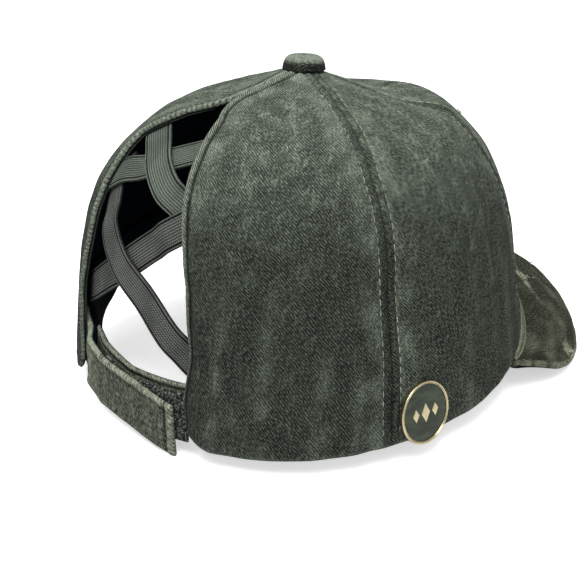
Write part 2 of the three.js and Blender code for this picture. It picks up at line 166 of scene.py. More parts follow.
class CapColours(PropertyGroup):
    """Colours of the cloth, the trims and the stage."""

    cloth_dark: colour("Cloth, dark", "Unworn twill", 0.064, 0.073, 0.066)
    cloth_mid: colour("Cloth, middle", "Washed twill", 0.152, 0.166, 0.15)
    cloth_pale: colour("Cloth, pale", "Twill worn at seams and edges", 0.52, 0.555, 0.5)
    brim_tint: colour("Brim tint", "Multiplies the cloth's colours on the brim", 0.98, 0.95, 0.9)
    elastic_dark: colour("Elastic, dark", "Grooves of the upper bands", 0.13, 0.142, 0.132)
    elastic_pale: colour("Elastic, pale", "Ribs of the upper bands", 0.44, 0.475, 0.435)
    elastic_low_dark: colour("Lower elastic, dark", "Grooves of the lower bands", 0.06, 0.066, 0.064)
    elastic_low_pale: colour("Lower elastic, pale", "Ribs of the lower bands", 0.37, 0.38, 0.365)
    # Dark navy lining cloth, darkened further as painted shade for the shaded inside of the crown.
    lining: colour("Lining", "Cloth inside the crown", 0.04, 0.07, 0.098)
    thread: colour("Thread", "Topstitching", 0.47, 0.5, 0.44)
    bare_thread: colour("Bare thread", "Undyed thread in torn places", 0.74, 0.75, 0.66)
    gold: colour("Pale gold", "The pin's metal", 0.76, 0.72, 0.58)
    enamel: colour("Enamel", "The pin's enamel", 0.125, 0.16, 0.1)
    floor: colour("Floor", "Stage floor", 0.9, 0.9, 0.9)


# Surfaces


def blended(turn, key):
    """The front, back and side values of the crown weighted by the squared cosine and sine."""
    c = np.cos(turn)
    front = np.where(c > 0, c * c, 0)
    back = np.where(c < 0, c * c, 0)
    return front * FRONT_SHAPE[key] + back * BACK_SHAPE[key] + np.sin(turn) ** 2 * SIDE_SHAPE[key]


def rim_outline(turn):
    """A superellipse: (|sin|^p + |cos|^p)^(-1/p) times the half width and the reach."""
    s, c = np.sin(turn), np.cos(turn)
    power = np.where(c > 0, FRONT_SHAPE["rim_power"], BACK_SHAPE["rim_power"])
    reach = np.where(c > 0, FRONT_REACH, BACK_REACH)
    k = (np.abs(s) ** power + np.abs(c) ** power) ** (-1 / power)
    return HALF_WIDTH * s * k, -reach * c * k


def rim_lift(turn):
    """Height of the rim over its lowest level: it climbs to the front, and the soft left side is
    drawn up in an arch of its own, a bell with a wider side behind."""
    aside = np.arctan2(np.sin(turn), np.cos(turn)) / DEGREE - LEFT_ARCH["middle"]
    half = np.where(aside < 0, LEFT_ARCH["ahead"], LEFT_ARCH["behind"])
    arch = LEFT_ARCH["height"] * np.exp(-((aside / half) ** 2))
    return RIM_LIFT * np.maximum(0, (np.cos(turn) + 0.08) / 1.08) ** 2.4 + arch


def crown_face(turn, rise):
    """The crown's outer face: the rim's outline drawn in by (1 - rise^fullness)^(1/shoulder),
    with a small peak under the button and a dent and a ridge over the forehead."""
    turn, rise = np.broadcast_arrays(np.asarray(turn, float), np.asarray(rise, float))
    high = np.clip(rise, 0, 1)
    inward = (1 - high ** blended(turn, "fullness")) ** (1 / blended(turn, "shoulder"))
    h = inward * (1 + blended(turn, "pull") * 4 * high * (1 - high))
    x, y = rim_outline(turn)
    radius = np.hypot(x, y) * h
    front = np.clip(np.cos(turn) + 0.3, 0, 1)
    dent = 4.8 * np.exp(-(((radius - 52) / 30) ** 2))
    ridge = 6.2 * np.exp(-(((radius - 58) / 14) ** 2))
    peak = PEAK_HEIGHT * np.exp(-((radius / PEAK_SPREAD) ** PEAK_POWER))
    z = rim_lift(turn) * (1 - rise) ** 1.5 + CROWN_HEIGHT * rise + peak + front * (ridge - dent)
    return np.stack((x * h, y * h + APEX_BACK * (1 - h), z), axis=-1)


def unit(vectors):
    return vectors / np.maximum(np.linalg.norm(vectors, axis=-1, keepdims=True), 1e-9)


def crown_normal(turn, rise):
    """Outward normal from two small steps along the face."""
    here = crown_face(turn, rise)
    aside = crown_face(turn + 0.002, rise) - here
    above = crown_face(turn, rise + 0.02 * (1 - np.clip(rise, 0, 1))) - here
    return unit(np.cross(aside, above))


def waves(points, shortest, longest, count, seed):
    """Soft random unevenness: the mean of plane waves with random directions and phases."""
    rng = np.random.default_rng(seed)
    ways = unit(rng.normal(size=(count, 3)))
    sizes = 2 * math.pi / rng.uniform(shortest, longest, count)
    phase = points @ (ways * sizes[:, None]).T + rng.uniform(0, 2 * math.pi, count)
    return np.sin(phase).sum(axis=-1) / math.sqrt(count)


def drift(points):
    """How far the cloth stands off its smooth face: broad unevenness and the upright folds."""
    turn = np.arctan2(points[..., 0], -points[..., 1]) / DEGREE
    z = points[..., 2]
    off = 0.42 * waves(points, 22, 48, 18, 3) + 0.1 * waves(points, 8, 15, 24, 4)
    for at, height, half, tall, depth in FOLDS:
        aside = (turn - at - 0.04 * (z - height)) * DEGREE * 86
        off = off + depth * np.exp(-((aside / half) ** 2) - ((z - height) / tall) ** 2)
    return off


def ridges(points):
    """1 along the backs of the raised folds, where the cloth rubs pale."""
    turn = np.arctan2(points[..., 0], -points[..., 1]) / DEGREE
    z = points[..., 2]
    raised = np.zeros_like(z)
    for at, height, half, tall, depth in FOLDS:
        aside = (turn - at - 0.04 * (z - height)) * DEGREE * 86
        along = np.exp(-((aside / half * 1.5) ** 2) - ((z - height) / tall) ** 2)
        raised = raised + (depth > 0) * along
    return np.clip(raised, 0, 1)


def on_crown(turn, rise, depth, follow=1.0):
    """A point at a depth inside the crown's outer face, following the cloth's unevenness."""
    face = crown_face(turn, rise)
    off = follow * drift(face) - depth
    return face + crown_normal(turn, rise) * off[..., None]


def from_back(degrees):
    """Plan angle of a place given in degrees from the back towards the wearer's right."""
    return (np.asarray(degrees) - 180) * DEGREE


def to_row(points):
    """Turns by the rest pitch about X, moves to the rest place and goes from mm to metres."""
    c, s = math.cos(REST_PITCH), math.sin(REST_PITCH)
    turned = points @ np.array(((1, 0, 0), (0, c, s), (0, -s, c)))
    return (turned + REST_PLACE) * MM


def curve_through(rows, t):
    """Centripetal Catmull-Rom curve through a band's rows, read at shares t: the steps between
    rows are the roots of their distances, with the height taken a hundredfold."""
    p = np.array(rows, float)
    p = np.vstack((2 * p[0] - p[1], p, 2 * p[-1] - p[-2]))
    scaled = p * (1, 100, 1)
    steps = np.linalg.norm(np.diff(scaled, axis=0), axis=1) ** 0.5
    place = np.clip(np.asarray(t) * (len(rows) - 1), 0, len(rows) - 1 - 1e-9)
    i = place.astype(int)
    w = (place - i)[..., None]
    a, b, c = (steps[i + k][..., None] for k in range(3))
    p0, p1, p2, p3 = (p[i + k] for k in range(4))
    m1 = ((p1 - p0) / a - (p2 - p0) / (a + b) + (p2 - p1) / b) * b
    m2 = ((p2 - p1) / b - (p3 - p1) / (b + c) + (p3 - p2) / c) * b
    return (
        (2 * w**3 - 3 * w**2 + 1) * p1 + (w**3 - 2 * w**2 + w) * m1
        + (3 * w**2 - 2 * w**3) * p2 + (w**3 - w**2) * m2
    )


def smooth(share):
    t = np.clip(share, 0, 1)
    return t * t * (3 - 2 * t)


def bump(distance, middle, half):
    """A bell that is 1 at the middle and falls off over the half width."""
    return np.exp(-(((distance - middle) / half) ** 2))


def crowded(count, pull):
    """Shares from 0 to 1 that crowd towards both ends by a pull from 0 to 1."""
    t = np.linspace(0, 1, count)
    return (1 - pull) * t + pull * (1 - np.cos(math.pi * t)) / 2


# Meshes


def put(name, points, faces, uv=None, values=None):
    """A smooth mesh object from points in mm in the crown's frame, faces of three or four
    corners, a UV per point in mm and named values per point."""
    used, inverse = np.unique(faces, return_inverse=True)
    faces = inverse.reshape(faces.shape)
    mesh = bpy.data.meshes.new(name)
    mesh.vertices.add(len(used))
    mesh.vertices.foreach_set("co", to_row(points[used]).astype(np.float32).ravel())
    sides = faces.shape[1]
    mesh.loops.add(faces.size)
    mesh.loops.foreach_set("vertex_index", faces.ravel().astype(np.int32))
    mesh.polygons.add(len(faces))
    mesh.polygons.foreach_set("loop_start", np.arange(0, faces.size, sides, dtype=np.int32))
    mesh.polygons.foreach_set("use_smooth", np.ones(len(faces), bool))
    mesh.update(calc_edges=True)
    if uv is not None:
        layer = mesh.uv_layers.new(name="cloth")
        layer.data.foreach_set("uv", uv[used][faces.ravel()].astype(np.float32).ravel())
    for key, value in (values or {}).items():
        store = mesh.attributes.new(key, "FLOAT", "POINT")
        store.data.foreach_set("value", value[used].astype(np.float32))
    mesh.validate()
    piece = bpy.data.objects.new(name, mesh)
    bpy.context.collection.objects.link(piece)
    return piece


def quads(index):
    """Faces of a grid of point numbers, each row's points running along the second axis."""
    a, b = index[:-1, :-1], index[:-1, 1:]
    c, d = index[1:, 1:], index[1:, :-1]
    return np.stack((a, b, c, d), axis=-1).reshape(-1, 4)


def edge_distances(points):
    """Distances along the grid to its left, right, lower and upper edges, in mm."""
    across = np.linalg.norm(np.diff(points, axis=1), axis=-1)
    along = np.linalg.norm(np.diff(points, axis=0), axis=-1)
    left = np.pad(np.cumsum(across, axis=1), ((0, 0), (1, 0)))
    low = np.pad(np.cumsum(along, axis=0), ((1, 0), (0, 0)))
    return left, left[:, -1:] - left, low, low[-1:] - low


def shell(
    name, points, thickness, relief=0.0, inner_relief=0.0, values=None, outward=(0, 0, 40),
    sewn=(False, False),
):
    """A closed sheet of cloth: the grid is its outer face, the inner face lies a thickness
    behind it, and both meet in a rounded edge. Where the left or right edge is sewn to the next
    sheet, the outer face runs on flat to the edge. Outward is a point that the sheet faces away
    from. The UV is the distance from the middle column and from the lower edge in mm."""
    left, right, low, high = edge_distances(points)
    du = np.gradient(points, axis=1)
    dv = np.gradient(points, axis=0)
    normal = unit(np.cross(du, dv))
    flipped = np.sum(normal * (points - np.array(outward))) < 0
    if flipped:
        normal = -normal
    sides = np.minimum(left + thickness * sewn[0], right + thickness * sewn[1])
    nearest = np.minimum(sides, np.minimum(low, high))
    near = np.clip(nearest / (thickness * 0.5), 0, 1)
    full = np.sqrt(np.clip(1 - (1 - near) ** 2, 0, 1))
    half = thickness / 2 * full
    fade = smooth(nearest / (thickness * 0.5))
    outer = points + normal * (half - thickness / 2 + relief * fade)[..., None]
    inner = points - normal * (half + thickness / 2 - inner_relief * fade)[..., None]
    count = points.shape[0] * points.shape[1]
    top = np.arange(count).reshape(points.shape[:2])
    under = top + count
    for part in (np.s_[0, :], np.s_[-1, :], np.s_[:, 0], np.s_[:, -1]):
        under[part] = top[part]
    faces = np.vstack((quads(top), quads(under)[:, ::-1]))
    if flipped:
        faces = faces[:, ::-1]
    level = np.broadcast_to(low.mean(axis=1)[:, None], left.shape)
    flat = np.stack((left - left[:, -1:] / 2, level), axis=-1)
    doubled = {k: np.concatenate((v.ravel(), v.ravel())) for k, v in (values or {}).items()}
    # The inner face is marked so that the cloth material paints it with the dark lining colour as painted shade.
    doubled["inside"] = np.repeat((0.0, 1.0), count)
    return put(
        name, np.concatenate((outer.reshape(-1, 3), inner.reshape(-1, 3))), faces,
        np.tile(flat.reshape(-1, 2), (2, 1)), doubled,
    )


def tube(name, lines, radius, sides=6, values=None):
    """Round threads: lines is an array of paths by points, each carried round by a ring that
    tapers at both ends."""
    ahead = unit(np.gradient(lines, axis=1))
    up = np.zeros_like(ahead)
    up[..., 2] = 1
    up[np.abs(ahead[..., 2]) > 0.9] = (1, 0, 0)
    side = unit(np.cross(ahead, up))
    up = np.cross(side, ahead)
    steps = lines.shape[1]
    taper = np.sqrt(np.clip(1 - np.linspace(-1, 1, steps) ** 6, 0.02, 1)) * radius
    angle = np.linspace(0, 2 * math.pi, sides, endpoint=False)
    ring = side[:, :, None] * np.cos(angle)[:, None] + up[:, :, None] * np.sin(angle)[:, None]
    points = lines[:, :, None] + ring * taper[None, :, None, None]
    index = np.arange(points[..., 0].size).reshape(points.shape[:3])
    index = np.concatenate((index, index[:, :, :1]), axis=2)
    faces = [quads(strand) for strand in index]
    ends = points.reshape(-1, 3)
    return put(name, ends, np.vstack(faces), None, values)


def stitch_row(points, normals, pitch, size, radius):
    """Stitches along a path: short rounded threads whose ends dive into the cloth. Each is an
    ellipsoid of six sides and five rings, stretched along the path."""
    run = np.pad(np.cumsum(np.linalg.norm(np.diff(points, axis=0), axis=1)), (1, 0))
    at = np.arange(pitch / 2, run[-1], pitch)
    middle = np.stack([np.interp(at, run, points[:, k]) for k in range(3)], axis=-1)
    up = unit(np.stack([np.interp(at, run, normals[:, k]) for k in range(3)], axis=-1))
    ahead = np.stack([np.interp(at + 0.6, run, points[:, k]) for k in range(3)], axis=-1) - middle
    ahead = unit(ahead - up * np.sum(ahead * up, axis=1, keepdims=True))
    side = np.cross(up, ahead)
    share = np.array((-1, -0.85, -0.4, 0.4, 0.85, 1.0))
    round_ = np.sqrt(1 - share**2 * 0.98) * radius
    angle = np.linspace(0, 2 * math.pi, 6, endpoint=False)
    rise = (1 - share**2) * radius * 1.1 - radius * 0.5
    local = (
        ahead[:, None, None] * (share * size / 2)[None, :, None, None]
        + side[:, None, None] * (round_[:, None] * np.cos(angle))[None, :, :, None]
        + up[:, None, None] * (round_[:, None] * np.sin(angle) + rise[:, None])[None, :, :, None]
    )
    return middle[:, None, None] + local


def stitches(name, rows):
    """One object from many rows of stitches."""
    points = np.concatenate(rows)
    index = np.arange(points[..., 0].size).reshape(points.shape[:3])
    index = np.concatenate((index, index[:, :, :1]), axis=2)
    a, b = index[:, :-1, :-1], index[:, :-1, 1:]
    c, d = index[:, 1:, 1:], index[:, 1:, :-1]
    faces = np.stack((a, b, c, d), axis=-1).reshape(-1, 4)
    start, end = index[:, 0, 5::-1], index[:, -1, :6]
    caps = [ring[:, corners] for corners in ([0, 1, 2, 3], [0, 3, 4, 5]) for ring in (start, end)]
    return put(name, points.reshape(-1, 3), np.vstack((faces, *caps)))


def lathe(name, profile, centre, axis, up, sides=72, values=None):
    """A profile of (radius, height) turned about an axis; radius 0 closes a pole."""
    profile = np.array(profile, float)
    side = unit(np.cross(up, axis))
    front = np.cross(axis, side)
    angle = np.linspace(0, 2 * math.pi, sides, endpoint=False)
    ring = np.cos(angle)[:, None] * side + np.sin(angle)[:, None] * front
    points = centre + profile[:, 0, None, None] * ring + (profile[:, 1, None] * axis)[:, None]
    index = np.arange(len(profile) * sides).reshape(len(profile), sides)
    for k in np.flatnonzero(profile[:, 0] < 1e-6):
        index[k] = index[k, 0]
    index = np.concatenate((index, index[:, :1]), axis=1)
    return put(name, points.reshape(-1, 3), quads(index), None, values)


def dress(piece, material, slot, *nodes):
    """Gives a piece its finish, lets it ride on the cap and stand for its solids."""
    piece.data.materials.clear()
    piece.data.materials.append(material)
    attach(piece, "root")
    if nodes:
        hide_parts(*nodes)
    return piece


# Materials


class Nodes:
    """Short names for adding and joining shader nodes in one tree."""

    def __init__(self, tree):
        self.tree = tree

    def add(self, kind, **settings):
        node = self.tree.nodes.new(kind)
        for key, value in settings.items():
            setattr(node, key, value)
        return node

    def feed(self, socket, value):
        if isinstance(value, bpy.types.NodeSocket):
            self.tree.links.new(value, socket)
        elif value is not None:
            socket.default_value = value

    def maths(self, operation, *values, clamp=False):
        node = self.add("ShaderNodeMath", operation=operation, use_clamp=clamp)
        for socket, value in zip(node.inputs, values):
            self.feed(socket, value)
        return node.outputs[0]

    def ranged(self, value, low, high, to_low=0.0, to_high=1.0):
        node = self.add("ShaderNodeMapRange", interpolation_type="SMOOTHSTEP")
        for socket, item in zip(node.inputs, (value, low, high, to_low, to_high)):
            self.feed(socket, item)
        return node.outputs[0]

    def noise(self, vector, scale, detail=2.0, rough=0.5):
        node = self.add("ShaderNodeTexNoise")
        self.feed(node.inputs["Vector"], vector)
        self.feed(node.inputs["Scale"], scale)
        self.feed(node.inputs["Detail"], detail)
        self.feed(node.inputs["Roughness"], rough)
        return node.outputs["Fac"]

    def mixed(self, share, first, second, blend="MIX"):
        node = self.add("ShaderNodeMix", data_type="RGBA", blend_type=blend)
        self.feed(node.inputs[0], share)
        self.feed(node.inputs[6], first)
        self.feed(node.inputs[7], second)
        return node.outputs[2]

    def stretched(self, vector, scale, turn=0.0):
        node = self.add("ShaderNodeMapping")
        self.feed(node.inputs["Vector"], vector)
        node.inputs["Rotation"].default_value = (0, 0, turn)
        node.inputs["Scale"].default_value = scale
        return node.outputs[0]

    def attribute(self, name):
        return self.add("ShaderNodeAttribute", attribute_name=name).outputs["Fac"]

    def group(self, name, **values):
        node = self.add("ShaderNodeGroup", node_tree=bpy.data.node_groups[name])
        for key, value in values.items():
            self.feed(node.inputs[key.replace("_", " ").capitalize()], value)
        return node.outputs


def new_group(name, inputs, outputs):
    """An empty shader group with named inputs and outputs."""
    tree = bpy.data.node_groups.new(name, "ShaderNodeTree")
    for label, kind, default in inputs:
        socket = tree.interface.new_socket(label, in_out="INPUT", socket_type=f"NodeSocket{kind}")
        if default is not None:
            socket.default_value = default
    for label in outputs:
        tree.interface.new_socket(label, in_out="OUTPUT", socket_type="NodeSocketFloat")
    n = Nodes(tree)
    return n, n.add("NodeGroupInput").outputs, n.add("NodeGroupOutput").inputs


def twill_group():
    """Diagonal ridges of twill worn uneven, as a height and a mask, and the pale flecks that
    washing leaves on them: noise drawn out along the ridges."""
    n, given, out = new_group(
        "Twill weave",
        [
            ("Vector", "Vector", None), ("Spacing", "Float", 0.88), ("Lean", "Float", 1.0),
            ("Grain", "Float", 2.0),
        ],
        ["Height", "Ridge", "Flecks"],
    )
    split = n.add("ShaderNodeSeparateXYZ")
    n.feed(split.inputs[0], given["Vector"])
    x, y = split.outputs[0], split.outputs[1]
    sine = n.maths("SINE", given["Lean"])
    cosine = n.maths("COSINE", given["Lean"])
    across = n.maths("ADD", n.maths("MULTIPLY", x, sine), n.maths("MULTIPLY", y, cosine))
    along = n.maths("SUBTRACT", n.maths("MULTIPLY", x, cosine), n.maths("MULTIPLY", y, sine))
    wobble = n.maths("MULTIPLY", n.noise(given["Vector"], 0.13, 3.0), 1.5)
    phase = n.maths("DIVIDE", n.maths("ADD", across, wobble), given["Spacing"])
    line = n.maths("SINE", n.maths("MULTIPLY", phase, 2 * math.pi))
    worn = n.ranged(n.noise(given["Vector"], 0.3, 3.0, 0.6), 0.36, 0.6, 0.45, 1.0)
    uneven = n.maths("MULTIPLY", line, worn)
    drawn = n.add("ShaderNodeCombineXYZ")
    n.feed(drawn.inputs[0], across)
    n.feed(drawn.inputs[1], n.maths("MULTIPLY", along, 0.4))
    fine = n.noise(drawn.outputs[0], given["Grain"], 1.5, 0.7)
    n.feed(out["Height"], uneven)
    n.feed(out["Ridge"], n.ranged(uneven, -0.7, 0.8))
    n.feed(out["Flecks"], n.ranged(fine, 0.38, 0.64))


def washed_group():
    """Marks left by washing: blotches of a few millimetres, broad clouds and thin upright
    creases, which are the lines where a drawn-out noise crosses its middle."""
    n, given, out = new_group("Washed marks", [("Vector", "Vector", None)], ["Blotches", "Clouds", "Creases"])
    middle = n.noise(given["Vector"], 0.13, 2.5, 0.5)
    n.feed(out["Blotches"], n.ranged(middle, 0.3, 0.7))
    broad = n.noise(given["Vector"], 0.045, 3.0, 0.55)
    n.feed(out["Clouds"], n.ranged(broad, 0.36, 0.64))
    upright = n.noise(n.stretched(given["Vector"], (1.0, 0.3, 1.0), 0.25), 0.16, 3.0, 0.55)
    off = n.maths("ABSOLUTE", n.maths("SUBTRACT", upright, 0.5))
    lines = n.maths("MULTIPLY", n.ranged(off, 0.028, 0.0), n.ranged(middle, 0.44, 0.6))
    n.feed(out["Creases"], lines)


def wear_group():
    """Wear that starts from an edge mask and is broken up by the weave and by noise."""
    n, given, out = new_group(
        "Broken wear",
        [("Vector", "Vector", None), ("Worn", "Float", 0.0), ("Grain", "Float", 0.5)],
        ["Wear"],
    )
    patch = n.noise(given["Vector"], 0.35, 4.0, 0.65)
    lifted = n.maths("MULTIPLY", given["Worn"], n.ranged(patch, 0.28, 0.62, 0.35, 1.15))
    speckled = n.maths("MULTIPLY", lifted, n.maths("MULTIPLY_ADD", given["Grain"], 0.9, 0.35))
    n.feed(out["Wear"], n.maths("MULTIPLY", speckled, 1.0, clamp=True))


def new_material(name):
    material = bpy.data.materials.new(name)
    material.use_nodes = True
    n = Nodes(material.node_tree)
    surface = material.node_tree.nodes["Principled BSDF"]
    return material, n, surface


def flat_vector(n):
    """The piece's own UV in millimetres."""
    return n.add("ShaderNodeUVMap", uv_map="cloth").outputs[0]


def rough_surface(n, surface, height, distance, roughness=1.0, sheen=0.0):
    """Sets the values of a matt cloth and raises its relief."""
    surface.inputs["Roughness"].default_value = roughness
    surface.inputs["Sheen Weight"].default_value = sheen
    surface.inputs["Sheen Roughness"].default_value = 0.6
    surface.inputs["Specular IOR Level"].default_value = 0.03
    raised = n.add("ShaderNodeBump")
    raised.inputs["Distance"].default_value = distance * MM
    n.feed(raised.inputs["Height"], height)
    n.feed(surface.inputs["Normal"], raised.outputs[0])


def rgba(value):
    return (*value, 1.0)


def tinted(value, tint):
    return [a * b for a, b in zip(value, tint)]


def washed_twill(name, lean, lift=0.0, tint=(1.0, 1.0, 1.0), grain=1.9, salty=0.29):
    """Dark twill, washed pale: fine flecks over ridges, blotches, clouds and creases, paler
    towards the top and at every edge, twisted hems worn pale with a painted highlight on the crest
    and painted shade between the twists, painted shade in grooves and hollows, and the inside
    painted dark as painted shade."""
    colours = bpy.context.scene.cap_colours
    dark, mid, pale = (tinted(c, tint) for c in (colours.cloth_dark, colours.cloth_mid, colours.cloth_pale))
    spacing = bpy.context.scene.cap_sizes.twill_spacing / MM
    material, n, surface = new_material(name)
    flat = flat_vector(n)
    weave = n.group("Twill weave", vector=flat, spacing=spacing, lean=lean, grain=grain)
    washed = n.group("Washed marks", vector=flat)
    place = n.add("ShaderNodeSeparateXYZ")
    n.feed(place.inputs[0], n.add("ShaderNodeTexCoord").outputs["Object"])
    top = n.ranged(place.outputs[2], 0.064, 0.122)
    soft = n.maths("MULTIPLY_ADD", washed["Blotches"], 0.4, n.maths("MULTIPLY", washed["Clouds"], 0.4))
    base = n.mixed(n.maths("ADD", soft, lift, clamp=True), rgba(dark), rgba(mid))
    speckle = n.maths("MULTIPLY_ADD", weave["Flecks"], 0.7, n.maths("MULTIPLY", weave["Ridge"], 0.3))
    rubbed = n.group("Broken wear", vector=flat, worn=n.attribute("worn"), grain=speckle)
    knots = n.maths("MULTIPLY_ADD", weave["Flecks"], 0.95, 0.05)
    salt = n.maths("MULTIPLY", knots, n.maths("MULTIPLY_ADD", weave["Ridge"], 0.8, 0.2))
    patch = n.maths("MULTIPLY_ADD", washed["Blotches"], 0.5, 0.5)
    creased = n.maths("MULTIPLY", washed["Creases"], n.maths("MULTIPLY_ADD", top, 0.2, 0.1))
    # Paler towards the top of the crown.
    paler_on_top = n.maths("MULTIPLY", top, patch)
    reach = n.maths("MULTIPLY_ADD", paler_on_top, 0.5, salty + lift * 0.5)
    hazy = n.maths("MULTIPLY_ADD", paler_on_top, 0.14, creased)
    share = n.maths("MULTIPLY_ADD", salt, reach, hazy, clamp=True)
    salted = n.mixed(share, base, rgba(pale))
    paled = n.mixed(rubbed["Wear"], salted, rgba(pale))
    split = n.add("ShaderNodeSeparateXYZ")
    n.feed(split.inputs[0], flat)
    slant = n.maths("ADD", split.outputs[0], split.outputs[1])
    tick = n.ranged(n.maths("SINE", n.maths("MULTIPLY", slant, 2 * math.pi / 1.5)), 0.1, -0.8)
    hem = n.attribute("hem")
    # On the hem: its wear, plus a painted highlight along the crest, brighter than the worn cloth.
    hem_wear_and_highlight = n.maths("MULTIPLY", hem, n.maths("MULTIPLY_ADD", speckle, 0.9, 0.2))
    # Painted shade in the grooves between the hem's twists; the same mask also deepens them in the relief.
    twist_groove_and_shade = n.maths("MULTIPLY", n.maths("MULTIPLY", hem, tick), 0.95, clamp=True)
    rolled = n.mixed(hem_wear_and_highlight, paled, rgba([v * 1.3 for v in pale]))
    twisted = n.mixed(twist_groove_and_shade, rolled, rgba(dark))
    # Painted shade: this attribute darkens grooves, seams, hollows and the button's lower side towards near-black.
    painted_shade = n.mixed(n.attribute("painted_shade"), twisted, rgba([v * 0.35 for v in dark]))
    # Painted shade: the inner face takes the near-black lining colour, standing for the shade inside the crown.
    final = n.mixed(n.attribute("inside"), painted_shade, rgba(colours.lining))
    n.feed(surface.inputs["Base Color"], final)
    height = n.maths("MULTIPLY_ADD", weave["Height"], 0.5, weave["Flecks"])
    height = n.maths("SUBTRACT", height, n.maths("MULTIPLY", twist_groove_and_shade, 1.5))
    rough_surface(n, surface, height, 0.24)
    return material


def plain_cloth(name, tint, grain, distance, spread=0.4):
    """A plain weave in one colour with fine noise in tone and height."""
    material, n, surface = new_material(name)
    space = n.stretched(n.add("ShaderNodeTexCoord").outputs["Object"], (1000, 1000, 1000))
    fine = n.noise(space, grain, 3.0, 0.6)
    broad = n.noise(space, 0.06, 3.0)
    tone = n.ranged(n.maths("MULTIPLY_ADD", fine, 0.6, n.maths("MULTIPLY", broad, 0.4)), 0.36, 0.64)
    low, high = [v * (1 - spread) for v in tint], [min(1, v * (1 + spread)) for v in tint]
    n.feed(surface.inputs["Base Color"], n.mixed(tone, rgba(low), rgba(high)))
    rough_surface(n, surface, fine, distance, sheen=0.0)
    return material


def elastic(name, dark, pale, dashes):
    """Ribbed webbing: thin dark grooves, each rib a chain of pale dashes set off from the chain
    beside it, and pale selvedges with painted shade in the groove beside each."""
    sizes = bpy.context.scene.cap_sizes
    rib = (sizes.band_width / MM - 2.6) / sizes.band_ribs
    material, n, surface = new_material(name)
    flat = flat_vector(n)
    split = n.add("ShaderNodeSeparateXYZ")
    n.feed(split.inputs[0], flat)
    place = n.maths("DIVIDE", n.maths("SUBTRACT", split.outputs[1], 1.3), rib)
    offset = n.maths("MULTIPLY", n.maths("FLOOR", place), math.pi)
    shift = n.maths("MULTIPLY_ADD", n.noise(flat, 0.6, 2.0), 1.5, offset)
    chain = n.maths("SINE", n.maths("MULTIPLY_ADD", split.outputs[0], 2 * math.pi / 0.95, shift))
    dash = n.maths("MULTIPLY", n.maths("MULTIPLY_ADD", chain, 0.5, 0.5), n.attribute("rib"))
    fine = n.noise(flat, 1.9, 2.0, 0.7)
    cloud = n.noise(flat, 0.07, 3.0)
    tone = n.maths("MULTIPLY_ADD", n.attribute("rib"), 0.62, n.maths("MULTIPLY_ADD", fine, 1.1, -0.65))
    tone = n.maths("ADD", n.maths("MULTIPLY_ADD", dash, dashes, tone), n.attribute("selvedge"), clamp=True)
    cloth = n.mixed(tone, rgba(dark), rgba(pale))
    shaded = n.mixed(n.ranged(cloud, 0.38, 0.66, 0.0, 0.35), cloth, rgba(dark))
    n.feed(surface.inputs["Base Color"], shaded)
    rough_surface(n, surface, n.maths("ADD", dash, fine), 0.2, roughness=0.85)
    return material


def thread_material(name, tint):
    """Twisted thread: its tone changes along the run and within each stitch."""
    material, n, surface = new_material(name)
    space = n.stretched(n.add("ShaderNodeTexCoord").outputs["Object"], (1000, 1000, 1000))
    fine = n.noise(space, 1.6, 2.0, 0.6)
    broad = n.noise(space, 0.09, 2.0)
    tone = n.ranged(n.maths("MULTIPLY_ADD", broad, 0.55, n.maths("MULTIPLY", fine, 0.45)), 0.36, 0.64)
    low, high = [v * 0.5 for v in tint], [min(1, v * 1.35) for v in tint]
    n.feed(surface.inputs["Base Color"], n.mixed(tone, rgba(low), rgba(high)))
    rough_surface(n, surface, fine, 0.1, roughness=0.8)
    return material


def pile_material(name):
    """Loop pile: dark fuzz with paler tips."""
    colours = bpy.context.scene.cap_colours
    material, n, surface = new_material(name)
    flat = flat_vector(n)
    tuft = n.ranged(n.noise(flat, 1.0, 2.0, 0.7), 0.47, 0.64)
    tip = [v * 0.55 for v in colours.cloth_pale]
    tone = n.mixed(tuft, rgba([v * 0.5 for v in colours.cloth_dark]), rgba(tip))
    n.feed(surface.inputs["Base Color"], tone)
    rough_surface(n, surface, tuft, 0.6, roughness=1.0, sheen=0.1)
    return material


def gold_material():
    """Polished plating, a little uneven."""
    colours = bpy.context.scene.cap_colours
    material, n, surface = new_material("pale_gold")
    space = n.stretched(n.add("ShaderNodeTexCoord").outputs["Object"], (1000, 1000, 1000))
    cloudy = n.noise(space, 0.25, 3.0)
    fine = n.noise(space, 3.0, 2.0)
    dull = [v * 0.72 for v in colours.gold]
    n.feed(surface.inputs["Base Color"], n.mixed(n.ranged(cloudy, 0.4, 0.75), rgba(colours.gold), rgba(dull)))
    n.feed(surface.inputs["Roughness"], n.ranged(fine, 0.3, 0.7, 0.22, 0.36))
    surface.inputs["Metallic"].default_value = 1.0
    return material


def enamel_material():
    """Glossy enamel, poured a little unevenly in soft streaks."""
    colours = bpy.context.scene.cap_colours
    material, n, surface = new_material("olive_enamel")
    space = n.stretched(n.add("ShaderNodeTexCoord").outputs["Object"], (300, 300, 900), 0.3)
    streak = n.noise(space, 0.4, 3.0, 0.5)
    deep = [v * 0.6 for v in colours.enamel]
    high = [v * 1.7 for v in colours.enamel]
    n.feed(surface.inputs["Base Color"], n.mixed(n.ranged(streak, 0.35, 0.68), rgba(deep), rgba(high)))
    n.feed(surface.inputs["Roughness"], n.ranged(streak, 0.3, 0.7, 0.16, 0.3))
    surface.inputs["Specular IOR Level"].default_value = 0.22
    surface.inputs["Coat Weight"].default_value = 0.12
    surface.inputs["Coat Roughness"].default_value = 0.06
    return material


def material(name, make, *values, **named):
    """The material of that name, made the first time it is asked for."""
    return bpy.data.materials.get(name) or make(name, *values, **named)


# Pieces


def opening_half(rise, side):
    return np.interp(rise, OPENING_RISE, OPENING_HALF[side])


